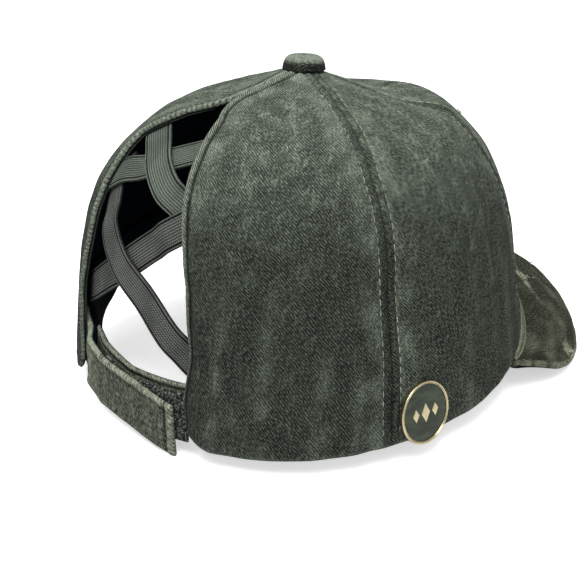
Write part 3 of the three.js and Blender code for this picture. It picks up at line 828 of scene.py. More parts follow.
def corner_rise(arc):
    """Rounded lower corner beside the opening, as a share of the height."""
    inside = np.maximum(0, CORNER_RADIUS - arc)
    return (CORNER_RADIUS - np.sqrt(CORNER_RADIUS**2 - inside**2)) / CROWN_HEIGHT


def seam_relief(distance, run, phase):
    """Beside a seam: the edge rolls in, the cloth swells over its seam allowance and dips at the
    row of stitches, which draws it into small puckers."""
    margin = bpy.context.scene.cap_sizes.seam_margin / MM
    pitch = bpy.context.scene.cap_sizes.stitch_pitch / MM
    pucker = np.sin(2 * math.pi * run / (pitch * 2.1) + phase + 2 * np.sin(run / 9 + phase))
    return (
        -0.25 * bump(distance, 0, 0.8)
        + 0.14 * bump(distance, margin * 0.55, 1.1)
        - 0.26 * bump(distance, margin, 0.6)
        + 0.1 * bump(distance, margin + 1.7, 1.1)
        + 0.08 * pucker * bump(distance, margin, 2.6)
    )


def hem_roll(distance, width, lift):
    """A hem's half-round back: an ellipse of its width and lift along the edge."""
    return lift * np.sqrt(np.clip(1 - ((distance - width / 2) / (width / 2)) ** 2, 0, 1))


def opening_relief(distance, run):
    """Beside the opening: a round hem twisted into small slanting folds, then the groove that its
    stitches pull in."""
    hem = bpy.context.scene.cap_sizes.hem_width / MM
    fold = np.sin(2 * math.pi * (run + 0.9 * distance) / 2.6 + 1.5 * np.sin(run / 11))
    roll = hem_roll(distance, hem, 0.45) * (1 + 0.2 * fold)
    return roll - 0.5 * bump(distance, hem + 0.7, 0.6) + 0.16 * bump(distance, hem + 2.4, 1.2)


def panel_grid(left_edge, right_edge, bottom, columns, rows):
    """Plan angles and rises of a panel, evenly spread along its own middle line."""
    def place(across, climb):
        low = bottom(across)
        rise = low + (1 - low) * (1 - (1 - climb) ** 2.4)
        radius = np.linalg.norm(crown_face(left_edge(rise), rise)[..., :2], axis=-1)
        gap = 0.02 / np.maximum(radius, TOP_HOLE)
        start, end = left_edge(rise) + gap, right_edge(rise) - gap
        return start + (end - start) * across, rise

    reach = 1 - (TOP_HOLE / HALF_WIDTH) ** 1.19
    trial = np.linspace(0, reach, 500)
    middle = crown_face(*place(np.full(500, 0.5), trial))
    run = np.pad(np.cumsum(np.linalg.norm(np.diff(middle, axis=0), axis=1)), (1, 0))
    climb = np.interp(crowded(rows, 0.25) * run[-1], run, trial)
    return place(*np.meshgrid(crowded(columns, 0.45), climb))


def panel(name, left_edge, right_edge, bottom, edges, lean, hem_wear_and_painted_light=0.9, seam_worn=1.0):
    """A crown panel: edges names what its left and right edges are, seam or opening."""
    sizes = bpy.context.scene.cap_sizes
    hem, margin = sizes.hem_width / MM, sizes.seam_margin / MM
    turn, rise = panel_grid(left_edge, right_edge, bottom, 116, 150)
    points = on_crown(turn, rise, 0)
    left, right, low, high = edge_distances(points)
    relief = 0.1 * bump(low, 1.0, 0.9) - 0.12 * bump(low, 2.6, 0.6)
    worn = 0.4 * bump(low, 0.3, 0.7)
    # Mask of painted shade for the cloth's colour.
    painted_shade = np.zeros_like(low)
    hemmed = np.zeros_like(low)
    uneven = 0.5 + 0.5 * np.clip(waves(points, 6, 22, 30, 6), -1, 1)
    for distance, kind, phase in ((left, edges[0], 0.3), (right, edges[1], 1.9)):
        if kind == "seam":
            relief = relief + seam_relief(distance, low, phase)
            outside = smooth((distance - margin - 0.5) / 1.5) * (1 - smooth((distance - margin - 4) / 6))
            worn = worn + seam_worn * (0.26 * bump(distance, margin + 0.4, 0.9) + 0.32 * uneven * outside)
            # Painted shade at the seam groove, at the stitch row and along the strip between them.
            painted_shade = painted_shade + 0.3 * bump(distance, 0, 0.5) + 0.3 * bump(distance, margin, 0.5)
            painted_shade = painted_shade + 0.2 * (distance < margin)
        else:
            relief = relief + opening_relief(distance, low)
            edge = 1.5 * bump(distance, 0.3, 0.6) + 1.0 * bump(distance, hem * 0.5, hem * 0.42)
            rubbed = smooth((points[..., 2] - 70) / 18) * bump(distance, hem + 4.5, 3.5)
            worn = worn + hem_wear_and_painted_light * edge + 0.45 * uneven * rubbed
            # Painted shade in the groove behind the hem.
            painted_shade = painted_shade + 0.8 * bump(distance, hem + 0.7, 0.7)
            # The hem mask brings a painted highlight on the hem's crest and painted shade between its twists.
            hemmed = hem_wear_and_painted_light * (1 - smooth((distance - hem + 0.4) / 0.5))
    worn = worn + 0.28 * uneven * ridges(points)
    values = {"worn": np.clip(worn, 0, 1.6), "painted_shade": np.clip(painted_shade, 0, 1), "hem": hemmed}
    sewn = tuple(kind == "seam" for kind in edges)
    piece = shell(name + "_cloth", points, CLOTH_WALL, relief, values=values, sewn=sewn)
    if "opening" in edges:
        cloth = material("twill_back", washed_twill, lean)
    else:
        cloth = material("twill_front", washed_twill, lean, 0.0, (1.0, 1.0, 1.0), 1.7, 0.38)
    return dress(piece, cloth, "washed_cotton", name)


def at(degrees):
    return lambda rise: np.full_like(rise, degrees * DEGREE)


def seam_path(degrees, offset, depth, low=0.015, high=0.985, count=400):
    """A line beside a seam at a distance in mm, with its normals."""
    rise = 1 - (1 - np.linspace(low, 1, count)) ** 2.4
    rise = rise[rise < high]
    turn = np.full_like(rise, degrees * DEGREE)
    step = 0.001
    stretch = np.linalg.norm(crown_face(turn + step, rise) - crown_face(turn, rise), axis=-1) / step
    turn = turn + offset / np.maximum(stretch, 1)
    return on_crown(turn, rise, depth), crown_normal(turn, rise)


class CAP_OT_crown_panels(Operator):
    """Make the six crown panels of washed twill"""

    bl_idname = "cap.crown_panels"
    bl_label = "Crown panels"

    def execute(self, context):
        def flat(across):
            return np.zeros_like(across)

        steep, slant = 52 * DEGREE, 50 * DEGREE
        seams = ("seam", "seam")
        front, back = SIDE_FRONT_SEAM, SIDE_BACK_SEAM
        panel("front_panel_right", at(-front), at(0), flat, seams, slant, seam_worn=2.2)
        panel("front_panel_left", at(0), at(front), flat, seams, slant, seam_worn=1.5)
        panel("side_panel_right", at(-back), at(-front), flat, seams, slant)
        panel("side_panel_left", at(front), at(back), flat, seams, slant)
        arc = {side: (180 - back - opening_half(0, side)) * DEGREE * BACK_REACH for side in OPENING_HALF}
        panel(
            "back_panel_right", lambda rise: from_back(opening_half(rise, "right")), at(-back),
            lambda across: corner_rise(across * arc["right"]), ("opening", "seam"), steep,
        )
        panel(
            "back_panel_left", at(back), lambda rise: math.pi - opening_half(rise, "left") * DEGREE,
            lambda across: corner_rise((1 - across) * arc["left"]), ("seam", "opening"), steep, 0.35,
        )
        return {"FINISHED"}


class CAP_OT_crown_sewing(Operator):
    """Make the topstitching of the crown, the tapes over its seams and the hem inside the opening"""

    bl_idname = "cap.crown_sewing"
    bl_label = "Crown sewing"

    def execute(self, context):
        sizes = context.scene.cap_sizes
        margin, pitch, size = (v / MM for v in (sizes.seam_margin, sizes.stitch_pitch, sizes.stitch_length))
        rows = []
        for seam in (-SIDE_BACK_SEAM, -SIDE_FRONT_SEAM, 0, SIDE_FRONT_SEAM, SIDE_BACK_SEAM):
            for side in (-1, 1):
                path = seam_path(seam, side * (margin + 0.15), 0.16)
                rows.append(stitch_row(*path, pitch, size, 0.22))
        colours = context.scene.cap_colours
        thread = material("topstitch_thread", thread_material, colours.thread)
        dress(stitches("crown_topstitching", rows), thread, "washed_cotton")

        hem = sizes.hem_width / MM
        rise = np.linspace(0.09, 0.955, 400)
        rows = []
        lines = []
        for side, sign in (("right", 1), ("left", -1)):
            edge = from_back(sign * opening_half(rise, side))
            stretch = np.linalg.norm(crown_face(edge + 0.001, rise) - crown_face(edge, rise), axis=-1) / 0.001
            away = sign * (hem + 0.7) / stretch
            rows.append(stitch_row(on_crown(edge + away, rise, 0.35), crown_normal(edge, rise), pitch, size, 0.22))
            lines.append(on_crown(edge + sign * 0.1 / stretch, rise, 2.2))
        dress(stitches("opening_hem_stitching", rows), thread, "washed_cotton")
        piping = tube("opening_inner_hem", np.stack(lines), 0.34, 8)
        dress(piping, material("inner_hem_cloth", plain_cloth, colours.cloth_mid, 1.4, 0.2), "washed_cotton")

        lining = material("lining_cloth", plain_cloth, colours.lining, 1.1, 0.15)
        for label, seam in zip(
            ("side_back_right", "side_front_right", "front", "side_front_left", "side_back_left"),
            (-SIDE_BACK_SEAM, -SIDE_FRONT_SEAM, 0, SIDE_FRONT_SEAM, SIDE_BACK_SEAM),
        ):
            strips = [seam_path(seam, off, CLOTH_WALL + 0.25, 0.14, 0.99, 130)[0] for off in np.linspace(-6, 6, 9)]
            tape = np.stack(strips, axis=1)
            run = edge_distances(tape)[2]
            ripple = 0.12 * np.sin(run * 2 * math.pi / 7)
            dress(shell("seam_tape_" + label, tape, 0.5, ripple, ripple), lining, "dark_lining")
        return {"FINISHED"}


def brim_edge(share):
    """The brim's outer edge: a blunt superellipse nose between the side lines, then back to
    the rim, falling away to both sides."""
    size = np.abs(share)
    a = np.minimum(1, size / 0.8) * math.pi / 2
    power = 1.75
    cosine = np.maximum(np.cos(a), 0)
    k = (np.sin(a) ** power + cosine**power) ** (-1 / power)
    nose = FRONT_REACH + 53 - 74
    back = np.maximum(0, (size - 0.8) / 0.2)
    end_y = rim_outline(np.array(62 * DEGREE))[1]
    x = np.sign(share) * (82 * np.sin(a) * k - 6 * back**2)
    y = (-74 - nose * cosine * k) * (1 - back) + end_y * back
    arch = 43.5 * (np.abs(x) / HALF_WIDTH) ** 1.6
    fall = math.tan(22.8 * DEGREE) * (-y - FRONT_REACH)
    return np.stack((x, y, RIM_LIFT + 3.8 - arch - fall - 7 * back**2), axis=-1)


def brim_face(share, reach):
    """The brim's upper face between the crown's edge and its own outer edge."""
    turn = share * 62 * DEGREE
    root = crown_face(turn, 0 * turn) - crown_normal(turn, 0 * turn) * CLOTH_WALL
    edge = brim_edge(share)
    puff = 1.2 * np.sin(math.pi * reach) ** 2 * (1 - share**2)
    point = root + (edge - root) * reach[..., None]
    point[..., 2] = root[..., 2] - 0.6 + (edge[..., 2] - root[..., 2] + 0.6) * reach**1.4 + puff
    return point


# Worn-through places on the brim: middle in plan, half width, half length and direction
TORN = (
    (-37.5, -111.5, 1.9, 11.0, 148 * DEGREE), (-75.0, -96.0, 3.4, 5.4, 105 * DEGREE),
    (-15.5, -154.5, 1.0, 2.6, 100 * DEGREE), (38.0, -143.0, 1.6, 3.6, 60 * DEGREE),
)


def over_brim(points, x, y):
    """The brim's height at places in plan, read at the nearest point of its grid."""
    across = np.asarray(x)[..., None] - points[..., 0].ravel()
    along = np.asarray(y)[..., None] - points[..., 1].ravel()
    return points[..., 2].ravel()[np.argmin(across**2 + along**2, axis=-1)]


def tuft(rng, middle, spread, lengths, count, way, fan):
    """Frayed threads: short bent lines about a middle, spread and fanned at random round a way."""
    t = np.linspace(-0.5, 0.5, 9)
    start = middle + rng.normal(0, 1, (count, 3)) * spread
    ahead = unit(way + rng.normal(0, fan, (count, 3))) * rng.uniform(*lengths, (count, 1))
    bend = rng.normal(0, 0.9, (count, 3))
    return start[:, None] + ahead[:, None] * t[:, None] + bend[:, None] * (t**2 - 0.08)[:, None]


class CAP_OT_brim(Operator):
    """Make the curved brim with its rows of stitches, worn edge and frayed places"""

    bl_idname = "cap.brim"
    bl_label = "Brim"

    def execute(self, context):
        sizes, colours = context.scene.cap_sizes, context.scene.cap_colours
        share, reach = np.meshgrid(np.linspace(-1, 1, 300), crowded(110, 0.3))
        points = brim_face(share, reach)
        outer = edge_distances(points)[3]
        ends = np.minimum(*edge_distances(points)[:2])
        inward = np.minimum(outer, ends + 2)
        spacing = sizes.brim_row_spacing / MM
        rows = [2.6 + spacing * k for k in range(7)]
        relief = 0.28 * bump(inward, 1.3, 1.1)
        # Painted shade along the grooves of the stitch rows, kept off the torn places.
        painted_shade = np.zeros_like(inward)
        for row in rows:
            relief = relief - 0.3 * bump(inward, row, 0.55)
            painted_shade = painted_shade + 0.35 * bump(inward, row, 0.5)
        relief = relief + 0.16 * waves(points, 9, 22, 20, 8) + 0.05 * waves(points, 3, 6, 20, 9)
        cloudy = np.clip(waves(points, 8, 26, 30, 10), 0, 1)
        ragged = 0.7 + 0.4 * np.clip(waves(points, 3, 10, 30, 14), -1, 1)
        worn = 1.1 * ragged * bump(inward, 0.6, 1.3) + 0.24 * cloudy + 0.2 * bump(inward, 9, 5) * cloudy
        torn = np.zeros_like(inward)
        for x, y, wide, long, turned in TORN:
            right, ahead = points[..., 0] - x, points[..., 1] - y
            along = right * math.cos(turned) + ahead * math.sin(turned)
            aside = ahead * math.cos(turned) - right * math.sin(turned)
            frayed = 1 + 0.35 * waves(points, 2, 4, 16, 5)
            torn = torn + np.exp(-(((aside / wide) ** 2 + (along / long) ** 2) * frayed) ** 2)
        torn = np.clip(torn, 0, 1)
        relief = relief - 0.6 * torn
        values = {
            "worn": np.clip(worn, 0, 1) + 1.4 * torn, "painted_shade": np.clip(painted_shade, 0, 1) * (1 - torn),
        }
        piece = shell("brim_cloth", points, 3.0, relief, 0.1 * waves(points, 9, 22, 20, 8), values, (0, -100, -900))
        cloth = material("twill_brim", washed_twill, 50 * DEGREE, 0.1, tuple(colours.brim_tint))
        dress(piece, cloth, "worn_cotton", "brim")

        normal = unit(np.cross(np.gradient(points, axis=1), np.gradient(points, axis=0)))
        normal = normal * np.sign(normal[..., 2:])
        lines = []
        for row in rows:
            k = np.argmin(np.abs(outer - row), axis=0)
            keep = (outer.max(axis=0) > row + 3) & (ends[0] > row + 1)
            columns = np.flatnonzero(keep)
            if len(columns) < 8:
                continue
            path = points[k[columns], columns] - normal[k[columns], columns] * 0.18
            for axis in range(3):
                path[:, axis] = np.convolve(np.pad(path[:, axis], 4, mode="edge"), np.ones(9) / 9, "valid")
            lines.append(stitch_row(path, normal[k[columns], columns], 3.3, 2.5, 0.25))
        thread = material("brim_thread", thread_material, tinted(colours.thread, (0.4, 0.4, 0.35)))
        dress(stitches("brim_topstitching", lines), thread, "worn_cotton")

        dress(self.joint_strip(), cloth, "worn_cotton")

        rng = np.random.default_rng(21)
        strands = []
        for x, y, wide, long, turned in TORN:
            middle = np.array((x, y, over_brim(points, x, y) + 0.4))
            way = np.array((math.cos(turned + 0.5), math.sin(turned + 0.5), 0.1))
            spread = np.array((abs(math.cos(turned)) * long, abs(math.sin(turned)) * long, 0.2)) * 0.25
            strands.append(tuft(rng, middle, spread, (1.0, 2.6), 22, way, 0.3))
        strands = np.concatenate(strands)
        floor = over_brim(points, strands[..., 0], strands[..., 1])
        strands[..., 2] = np.maximum(strands[..., 2], floor + 0.1)
        frayed = tube("brim_frayed_threads", strands, 0.11, 5)
        bare = material("bare_thread", thread_material, colours.bare_thread)
        dress(frayed, bare, "worn_cotton")
        return {"FINISHED"}

    def joint_strip(self):
        """The rubbed fold of cloth over the joint of crown and brim: across it, a quadratic curve
        from the crown's face over the rim's corner and out on the brim."""
        turn, v = np.meshgrid(np.linspace(-61, 61, 320) * DEGREE, np.linspace(0, 1, 22))
        share = turn / (62 * DEGREE)
        full = 1 - np.abs(share) ** 10
        high = on_crown(turn, (0.4 + 1.8 * full) / CROWN_HEIGHT, -0.1)
        corner = on_crown(turn, 0 * turn, -0.9)
        inner, outer = brim_face(share, 0 * share), brim_face(share, 0 * share + 1)
        span = np.linalg.norm(outer - inner, axis=-1)
        low = brim_face(share, np.clip((CLOTH_WALL + 0.6 + 3.4 * full) / span, 0, 0.9))
        low[..., 2] += 0.15
        a, b, c = ((w[..., None]) for w in ((1 - v) ** 2, 2 * v * (1 - v), v**2))
        points = a * high + b * corner + c * low
        upper, lower = edge_distances(points)[2:]
        relief = 0.22 * waves(points, 4, 12, 30, 18) * bump(v, 0.5, 0.3) + 0.2 * bump(lower, 0.6, 0.5)
        worn = 0.9 * bump(lower, 0.5, 0.7) + 0.8 * bump(upper, 0.5, 0.6) + 0.5
        # Painted shade in the crease where the strip meets the brim; the hem mask lays a painted highlight and
        # twist shade over the whole strip, over its wear.
        values = {"worn": worn, "painted_shade": 0.5 * bump(lower, 1.7, 0.4), "hem": 0.5 + 0 * v}
        return shell("brim_joint_strip", points, 0.8, relief, values=values, outward=(0, 0, -40))


class CAP_OT_sweatband(Operator):
    """Make the dark sweatband inside the rim"""

    bl_idname = "cap.sweatband"
    bl_label = "Sweatband"

    def execute(self, context):
        u, v = np.meshgrid(np.linspace(0, 1, 360), crowded(26, 0.3))
        turn = 35 + (360 - 33 - 35) * u
        sag = 5.5 * np.exp(-(((360 - turn - 40) / 14) ** 2)) * (1 - v)
        points = on_crown(from_back(turn), v * 32 / CROWN_HEIGHT, CLOTH_WALL + 0.5 + sag)
        low = edge_distances(points)[2]
        relief = 0.1 * np.sin(turn * 1.3) * bump(low, 28, 3) - 0.25 * bump(low, 28.5, 0.6)
        piece = shell("sweatband_cloth", points, 1.2, 0, -relief)
        lining = material("lining_cloth", plain_cloth, context.scene.cap_colours.lining, 1.1, 0.15)
        dress(piece, lining, "dark_lining", "sweatband")
        return {"FINISHED"}


def band_face(route, u, v, width):
    """Points of a band: its centre line on the crown, widened sideways by the local metric and
    sunk by the depth of its layer."""
    spot = curve_through(route, u)
    turn, rise = from_back(spot[..., 0]), spot[..., 1]
    over = smooth(spot[..., 2])
    step = 0.01
    next_ = curve_through(route, np.where(u < 0.5, u + step, u - step))
    sign = np.where(u < 0.5, 1.0, -1.0)[..., None]
    base = crown_face(turn, rise)
    along = (crown_face(from_back(next_[..., 0]), next_[..., 1]) - base) * sign
    side = unit(np.cross(crown_normal(turn, rise), along)) * (width * (v - 0.5))[..., None]
    small = 0.001
    du = (crown_face(turn + small, rise) - base) / small
    dv = (crown_face(turn, rise + small) - base) / small
    uu, uv, vv = ((a * b).sum(axis=-1) for a, b in ((du, du), (du, dv), (dv, dv)))
    sx, sy = (side * du).sum(axis=-1), (side * dv).sum(axis=-1)
    area = uu * vv - uv * uv
    turn = turn + (sx * vv - sy * uv) / area
    rise = rise + (sy * uu - sx * uv) / area
    return on_crown(turn, rise, BAND_DEPTH + (1 - over) * (BAND_THICKNESS + BAND_CLEARANCE), 0.0)


class CAP_OT_elastic_bands(Operator):
    """Make the four ribbed elastic bands that cross the opening"""

    bl_idname = "cap.elastic_bands"
    bl_label = "Elastic bands"

    def execute(self, context):
        sizes = context.scene.cap_sizes
        width = sizes.band_width / MM
        ribs, height = sizes.band_ribs, sizes.rib_height / MM
        colours = context.scene.cap_colours
        finishes = {
            "upper": (colours.elastic_dark, colours.elastic_pale, 0.35),
            "lower": (colours.elastic_low_dark, colours.elastic_low_pale, 0.75),
        }
        u, v = np.meshgrid(np.linspace(0, 1, 190), np.linspace(0, 1, 97))
        for name, route in BANDS.items():
            points = band_face(route, u, v, width)
            away = width * np.minimum(v, 1 - v)
            inside = np.clip((away - 1.3) / 0.3, 0, 1)
            ribbed = np.abs(np.sin(math.pi * ribs * (width * v - 1.3) / (width - 2.6))) ** 0.8 * inside
            selvedge = bump(away, 0.5, 0.35)
            groove = bump(away, 1.35, 0.25)
            relief = height * (ribbed + 1.3 * selvedge - groove)
            # The groove beside each selvedge is darkened in colour: painted shade.
            values = {"rib": ribbed, "selvedge": 0.8 * selvedge - 0.6 * groove}
            piece = shell(name + "_webbing", points, BAND_THICKNESS, relief, relief, values)
            level = name.split("_")[1]
            cloth = material(f"webbing_{level}", elastic, *finishes[level])
            dress(piece, cloth, "elastic_webbing", name)
        return {"FINISHED"}


def strap_grid(table, ends, height, depths, columns, rows, slant=0.0):
    """Points of a strap: turn and height from its table, and its two depths inside the face, free
    and tucked. The far end leans by the slant in degrees, its lower corner reaching on."""
    table = np.array(table, float)
    u, v = np.meshgrid(crowded(columns, 0.35), crowded(rows, 0.35))
    turn = ends[0] + (ends[1] - ends[0]) * u
    middle = np.interp(turn, table[:, 0], table[:, 1])
    tucked = smooth(np.interp(turn, table[:, 0], table[:, 2]))
    rise = (middle + height * (v - 0.5)) / CROWN_HEIGHT
    leaning = turn + slant * (0.5 - v) * smooth((u - 0.8) / 0.2)
    depth = depths[0] + (depths[1] - depths[0]) * tucked
    return on_crown(from_back(leaning), rise, depth, 0.0), turn


class CAP_OT_closure(Operator):
    """Make the closure: the outer strap, the inner strap and the loop pad between them"""

    bl_idname = "cap.closure"
    bl_label = "Closure strap"

    def execute(self, context):
        colours = context.scene.cap_colours
        tucked_depth = CLOTH_WALL + 0.5
        pad_depth = 2.4
        points, turn = strap_grid(OUTER_STRAP, (-30, 20.5), STRAP_HEIGHT, (-0.5, tucked_depth), 240, 84, 1.2)
        left, right, low, high = edge_distances(points)
        relief = hem_roll(high, 1.8, 0.22) + hem_roll(low, 1.8, 0.15) + hem_roll(right, 2.6, 0.45)
        relief = relief - 0.2 * bump(high, 2.3, 0.45) - 0.3 * bump(right, 3.2, 0.5) - 0.14 * bump(low, 2.3, 0.5)
        relief = relief + 0.24 * waves(points, 5, 13, 30, 11)
        ragged = 0.75 + 0.5 * np.clip(waves(points, 3, 11, 30, 15), -1, 1)
        worn = 0.9 * bump(high, 0.3, 0.7) + 0.25 * bump(low, 0.4, 0.7) + 0.8 * bump(right, 0.9, 1.0)
        mottled = np.clip(waves(points, 2, 7, 40, 16), 0, 1)
        worn = worn * ragged + 0.3 * smooth((-4 - turn) / 10) + 0.22 * mottled
        # Painted shade in the grooves behind the upper hem and the end hem; the hem mask lays a painted highlight
        # and twist shade along these hems.
        painted_shade = 0.35 * bump(high, 2.3, 0.5) + 0.6 * bump(right, 3.3, 0.5)
        hemmed = 0.3 * np.maximum(1 - smooth((high - 1.0) / 0.6), 1 - smooth((right - 2.0) / 0.6))
        values = {"worn": np.clip(worn, 0, 1), "painted_shade": np.clip(painted_shade, 0, 1), "hem": hemmed}
        piece = shell("outer_strap_cloth", points, 2.6, relief, values=values)
        cloth = material("twill_strap", washed_twill, 48 * DEGREE, 0.35, (1.07, 1.03, 0.98), 1.6, 0.4)
        dress(piece, cloth, "worn_cotton", "outer_strap")

        points, turn = strap_grid(INNER_STRAP, (-16.5, 31), STRAP_HEIGHT, (3.9, tucked_depth), 220, 80)
        left, right, low, high = edge_distances(points)
        relief = hem_roll(high, 1.5, 0.2) + hem_roll(low, 1.5, 0.2) - 0.25 * bump(high, 2.1, 0.4)
        relief = relief + 0.12 * waves(points, 6, 14, 24, 12)
        worn = 0.6 * bump(high, 0.4, 0.5) + 0.3 * bump(high, 2.9, 0.5) + 0.3 * bump(low, 0.5, 0.6)
        # Painted shade in the groove under the upper hem.
        values = {"worn": np.clip(worn, 0, 1), "painted_shade": np.clip(0.8 * bump(high, 2.1, 0.45), 0, 1)}
        piece = shell("inner_strap_cloth", points, 1.8, relief, values=values)
        dress(piece, cloth, "washed_cotton", "inner_strap")

        lowered = [(turn, middle - LOOP_PAD_DROP, tucked) for turn, middle, tucked in INNER_STRAP]
        points, turn = strap_grid(lowered, (-8, 23.6), LOOP_PAD_HEIGHT, (pad_depth, pad_depth), 230, 90)
        tufts = 0.26 * waves(points, 1.3, 2.6, 60, 13) + 0.12 * waves(points, 3, 6, 30, 14)
        piece = shell("loop_pad_pile", points, 1.2, tufts)
        dress(piece, material("loop_pile", pile_material), "loop_fabric", "loop_pad")

        rng = np.random.default_rng(7)
        knot = on_crown(from_back(12.4), np.array(15.4 / CROWN_HEIGHT), -0.6, 0.0)
        seam = on_crown(np.array(-35.3 * DEGREE), np.array(0.868), -0.3)
        loose = np.concatenate((
            tuft(rng, knot, 0.35, (1.8, 3.6), 14, np.array((-0.5, 0.6, 0.8)), 0.6),
            tuft(rng, seam, 0.5, (1.5, 3.2), 12, np.array((-0.5, -0.5, 0.6)), 0.7),
        ))
        bare = material("bare_thread", thread_material, colours.bare_thread)
        dress(tube("loose_threads", loose, 0.11, 5), bare, "worn_cotton")
        return {"FINISHED"}


class CAP_OT_top_button(Operator):
    """Make the covered button at the crown's top"""

    bl_idname = "cap.top_button"
    bl_label = "Top button"

    def execute(self, context):
        centre = np.array((0.0, APEX_BACK, CROWN_HEIGHT + PEAK_HEIGHT))
        low, high, radius = float(self.underside(8.2)), 4.0, 8.2
        angle, v = np.meshgrid(np.linspace(0, 2 * math.pi, 97), np.linspace(0, 1, 40))
        lift = (1 - (1 - v) ** 2.2) * 90 * DEGREE
        ring = radius * np.clip(np.cos(lift), 0, 1) ** 0.32
        share = np.sin(lift) ** 1.15
        z = low + (high - low) * share
        gather = 0.16 * np.sin(angle * 13 + 1.4 * np.sin(angle * 3)) * (1 - v) ** 2
        r = ring + gather * (ring > 1)
        under_r = np.linspace(0, 1, 8)[:, None] * radius + 0 * angle[:8]
        r = np.vstack((under_r[:-1], r))
        z = np.vstack((self.underside(under_r[:-1]), z))
        angle = np.vstack((angle[:7], angle))
        points = centre + np.stack((r * np.sin(angle), -r * np.cos(angle), z), axis=-1)
        index = np.arange(points[..., 0].size).reshape(points.shape[:2])
        index[:, -1] = index[:, 0]
        index[0] = index[0, 0]
        index[-1] = index[-1, 0]
        flat = np.stack((r * np.sin(angle), r * np.cos(angle) + z), axis=-1)
        share = np.vstack((np.zeros((7, 97)), share))
        # Paler towards the top of the dome, from rubbed wear and a painted highlight; darker on the lower side, a
        # painted shadow.
        values = {
            "worn": (0.75 * smooth((share - 0.55) / 0.25)).ravel(),
            "painted_shade": (0.8 * (1 - smooth((share - 0.4) / 0.3))).ravel(),
            "hem": np.zeros(share.size),
            "inside": np.zeros(share.size),
        }
        piece = put("top_button_cloth", points.reshape(-1, 3), quads(index), flat.reshape(-1, 2), values)
        cloth = material("twill_button", washed_twill, 60 * DEGREE, 0.3)
        dress(piece, cloth, "worn_cotton", "top_button")
        return {"FINISHED"}

    def underside(self, radius):
        """Height of the button's underside over its middle: it follows the crown's peak."""
        return PEAK_HEIGHT * (np.exp(-((radius / PEAK_SPREAD) ** PEAK_POWER)) - 1) + 0.4


class CAP_OT_enamel_pin(Operator):
    """Make the round pin: a gold dish with a double rim, its enamel and three plain lozenges"""

    bl_idname = "cap.enamel_pin"
    bl_label = "Enamel pin"

    def execute(self, context):
        radius = context.scene.cap_sizes.pin_radius / MM
        turn = np.array(-100.5 * DEGREE)
        rise = (9.4 - rim_lift(turn)) / CROWN_HEIGHT
        axis = crown_normal(turn, rise)
        centre = crown_face(turn, rise) + axis * 0.3
        up = unit(np.array((0, 0, 1.0)) - axis * axis[2])
        side = np.cross(up, axis)
        lip = radius - 0.9
        turned = np.linspace(0, math.pi, 9)
        outer_roll = [(radius - 0.32 + 0.32 * math.cos(a), 1.62 + 0.36 * math.sin(a)) for a in turned]
        inner_roll = [(radius - 0.82 + 0.16 * math.cos(a), 1.6 + 0.24 * math.sin(a)) for a in turned]
        base = [(0, 0), (radius - 0.5, 0), (radius - 0.12, 0.1), (radius, 0.42)]
        dish = base + outer_roll + inner_roll + [(lip, 1.3), (lip, 0.9), (0, 0.9)]
        rim = lathe("pin_rim_metal", dish, centre, axis, up, 96)
        gold = gold_material()
        dress(rim, gold, "pale_gold", "pin_rim")
        bevel = [(lip - 0.02, 1.3), (lip - 0.02, 1.42), (lip - 0.2, 1.5)]
        dome = [(share * (lip - 0.4), 1.5 + 0.22 * (1 - share**2)) for share in np.linspace(1, 0, 12)]
        enamel = lathe("pin_enamel_fill", [(0, 1.1), (lip - 0.02, 1.1)] + bevel + dome, centre, axis, up, 96)
        dress(enamel, enamel_material(), "olive_enamel", "pin_enamel")
        corners = []
        faces = []
        for x, half_width, half_height in ((-4.6, 1.5, 2.4), (0, 2.0, 3.5), (4.6, 1.5, 2.4)):
            for k, (grow, z) in enumerate(((1, 1.45), (1, 1.76), (0.8, 1.86), (0, 1.98))):
                for a in range(4):
                    px = x + half_width * grow * (1, 0, -1, 0)[a]
                    py = half_height * grow * (0, 1, 0, -1)[a]
                    corners.append(centre + side * px + up * py + axis * z)
                if k:
                    start = len(corners) - 8
                    faces += [[start + a, start + (a + 1) % 4, start + 4 + (a + 1) % 4, start + 4 + a] for a in range(4)]
        motif = put("pin_lozenges", np.array(corners), np.array(faces))
        for polygon in motif.data.polygons:
            polygon.use_smooth = False
        dress(motif, gold, "pale_gold")
        return {"FINISHED"}


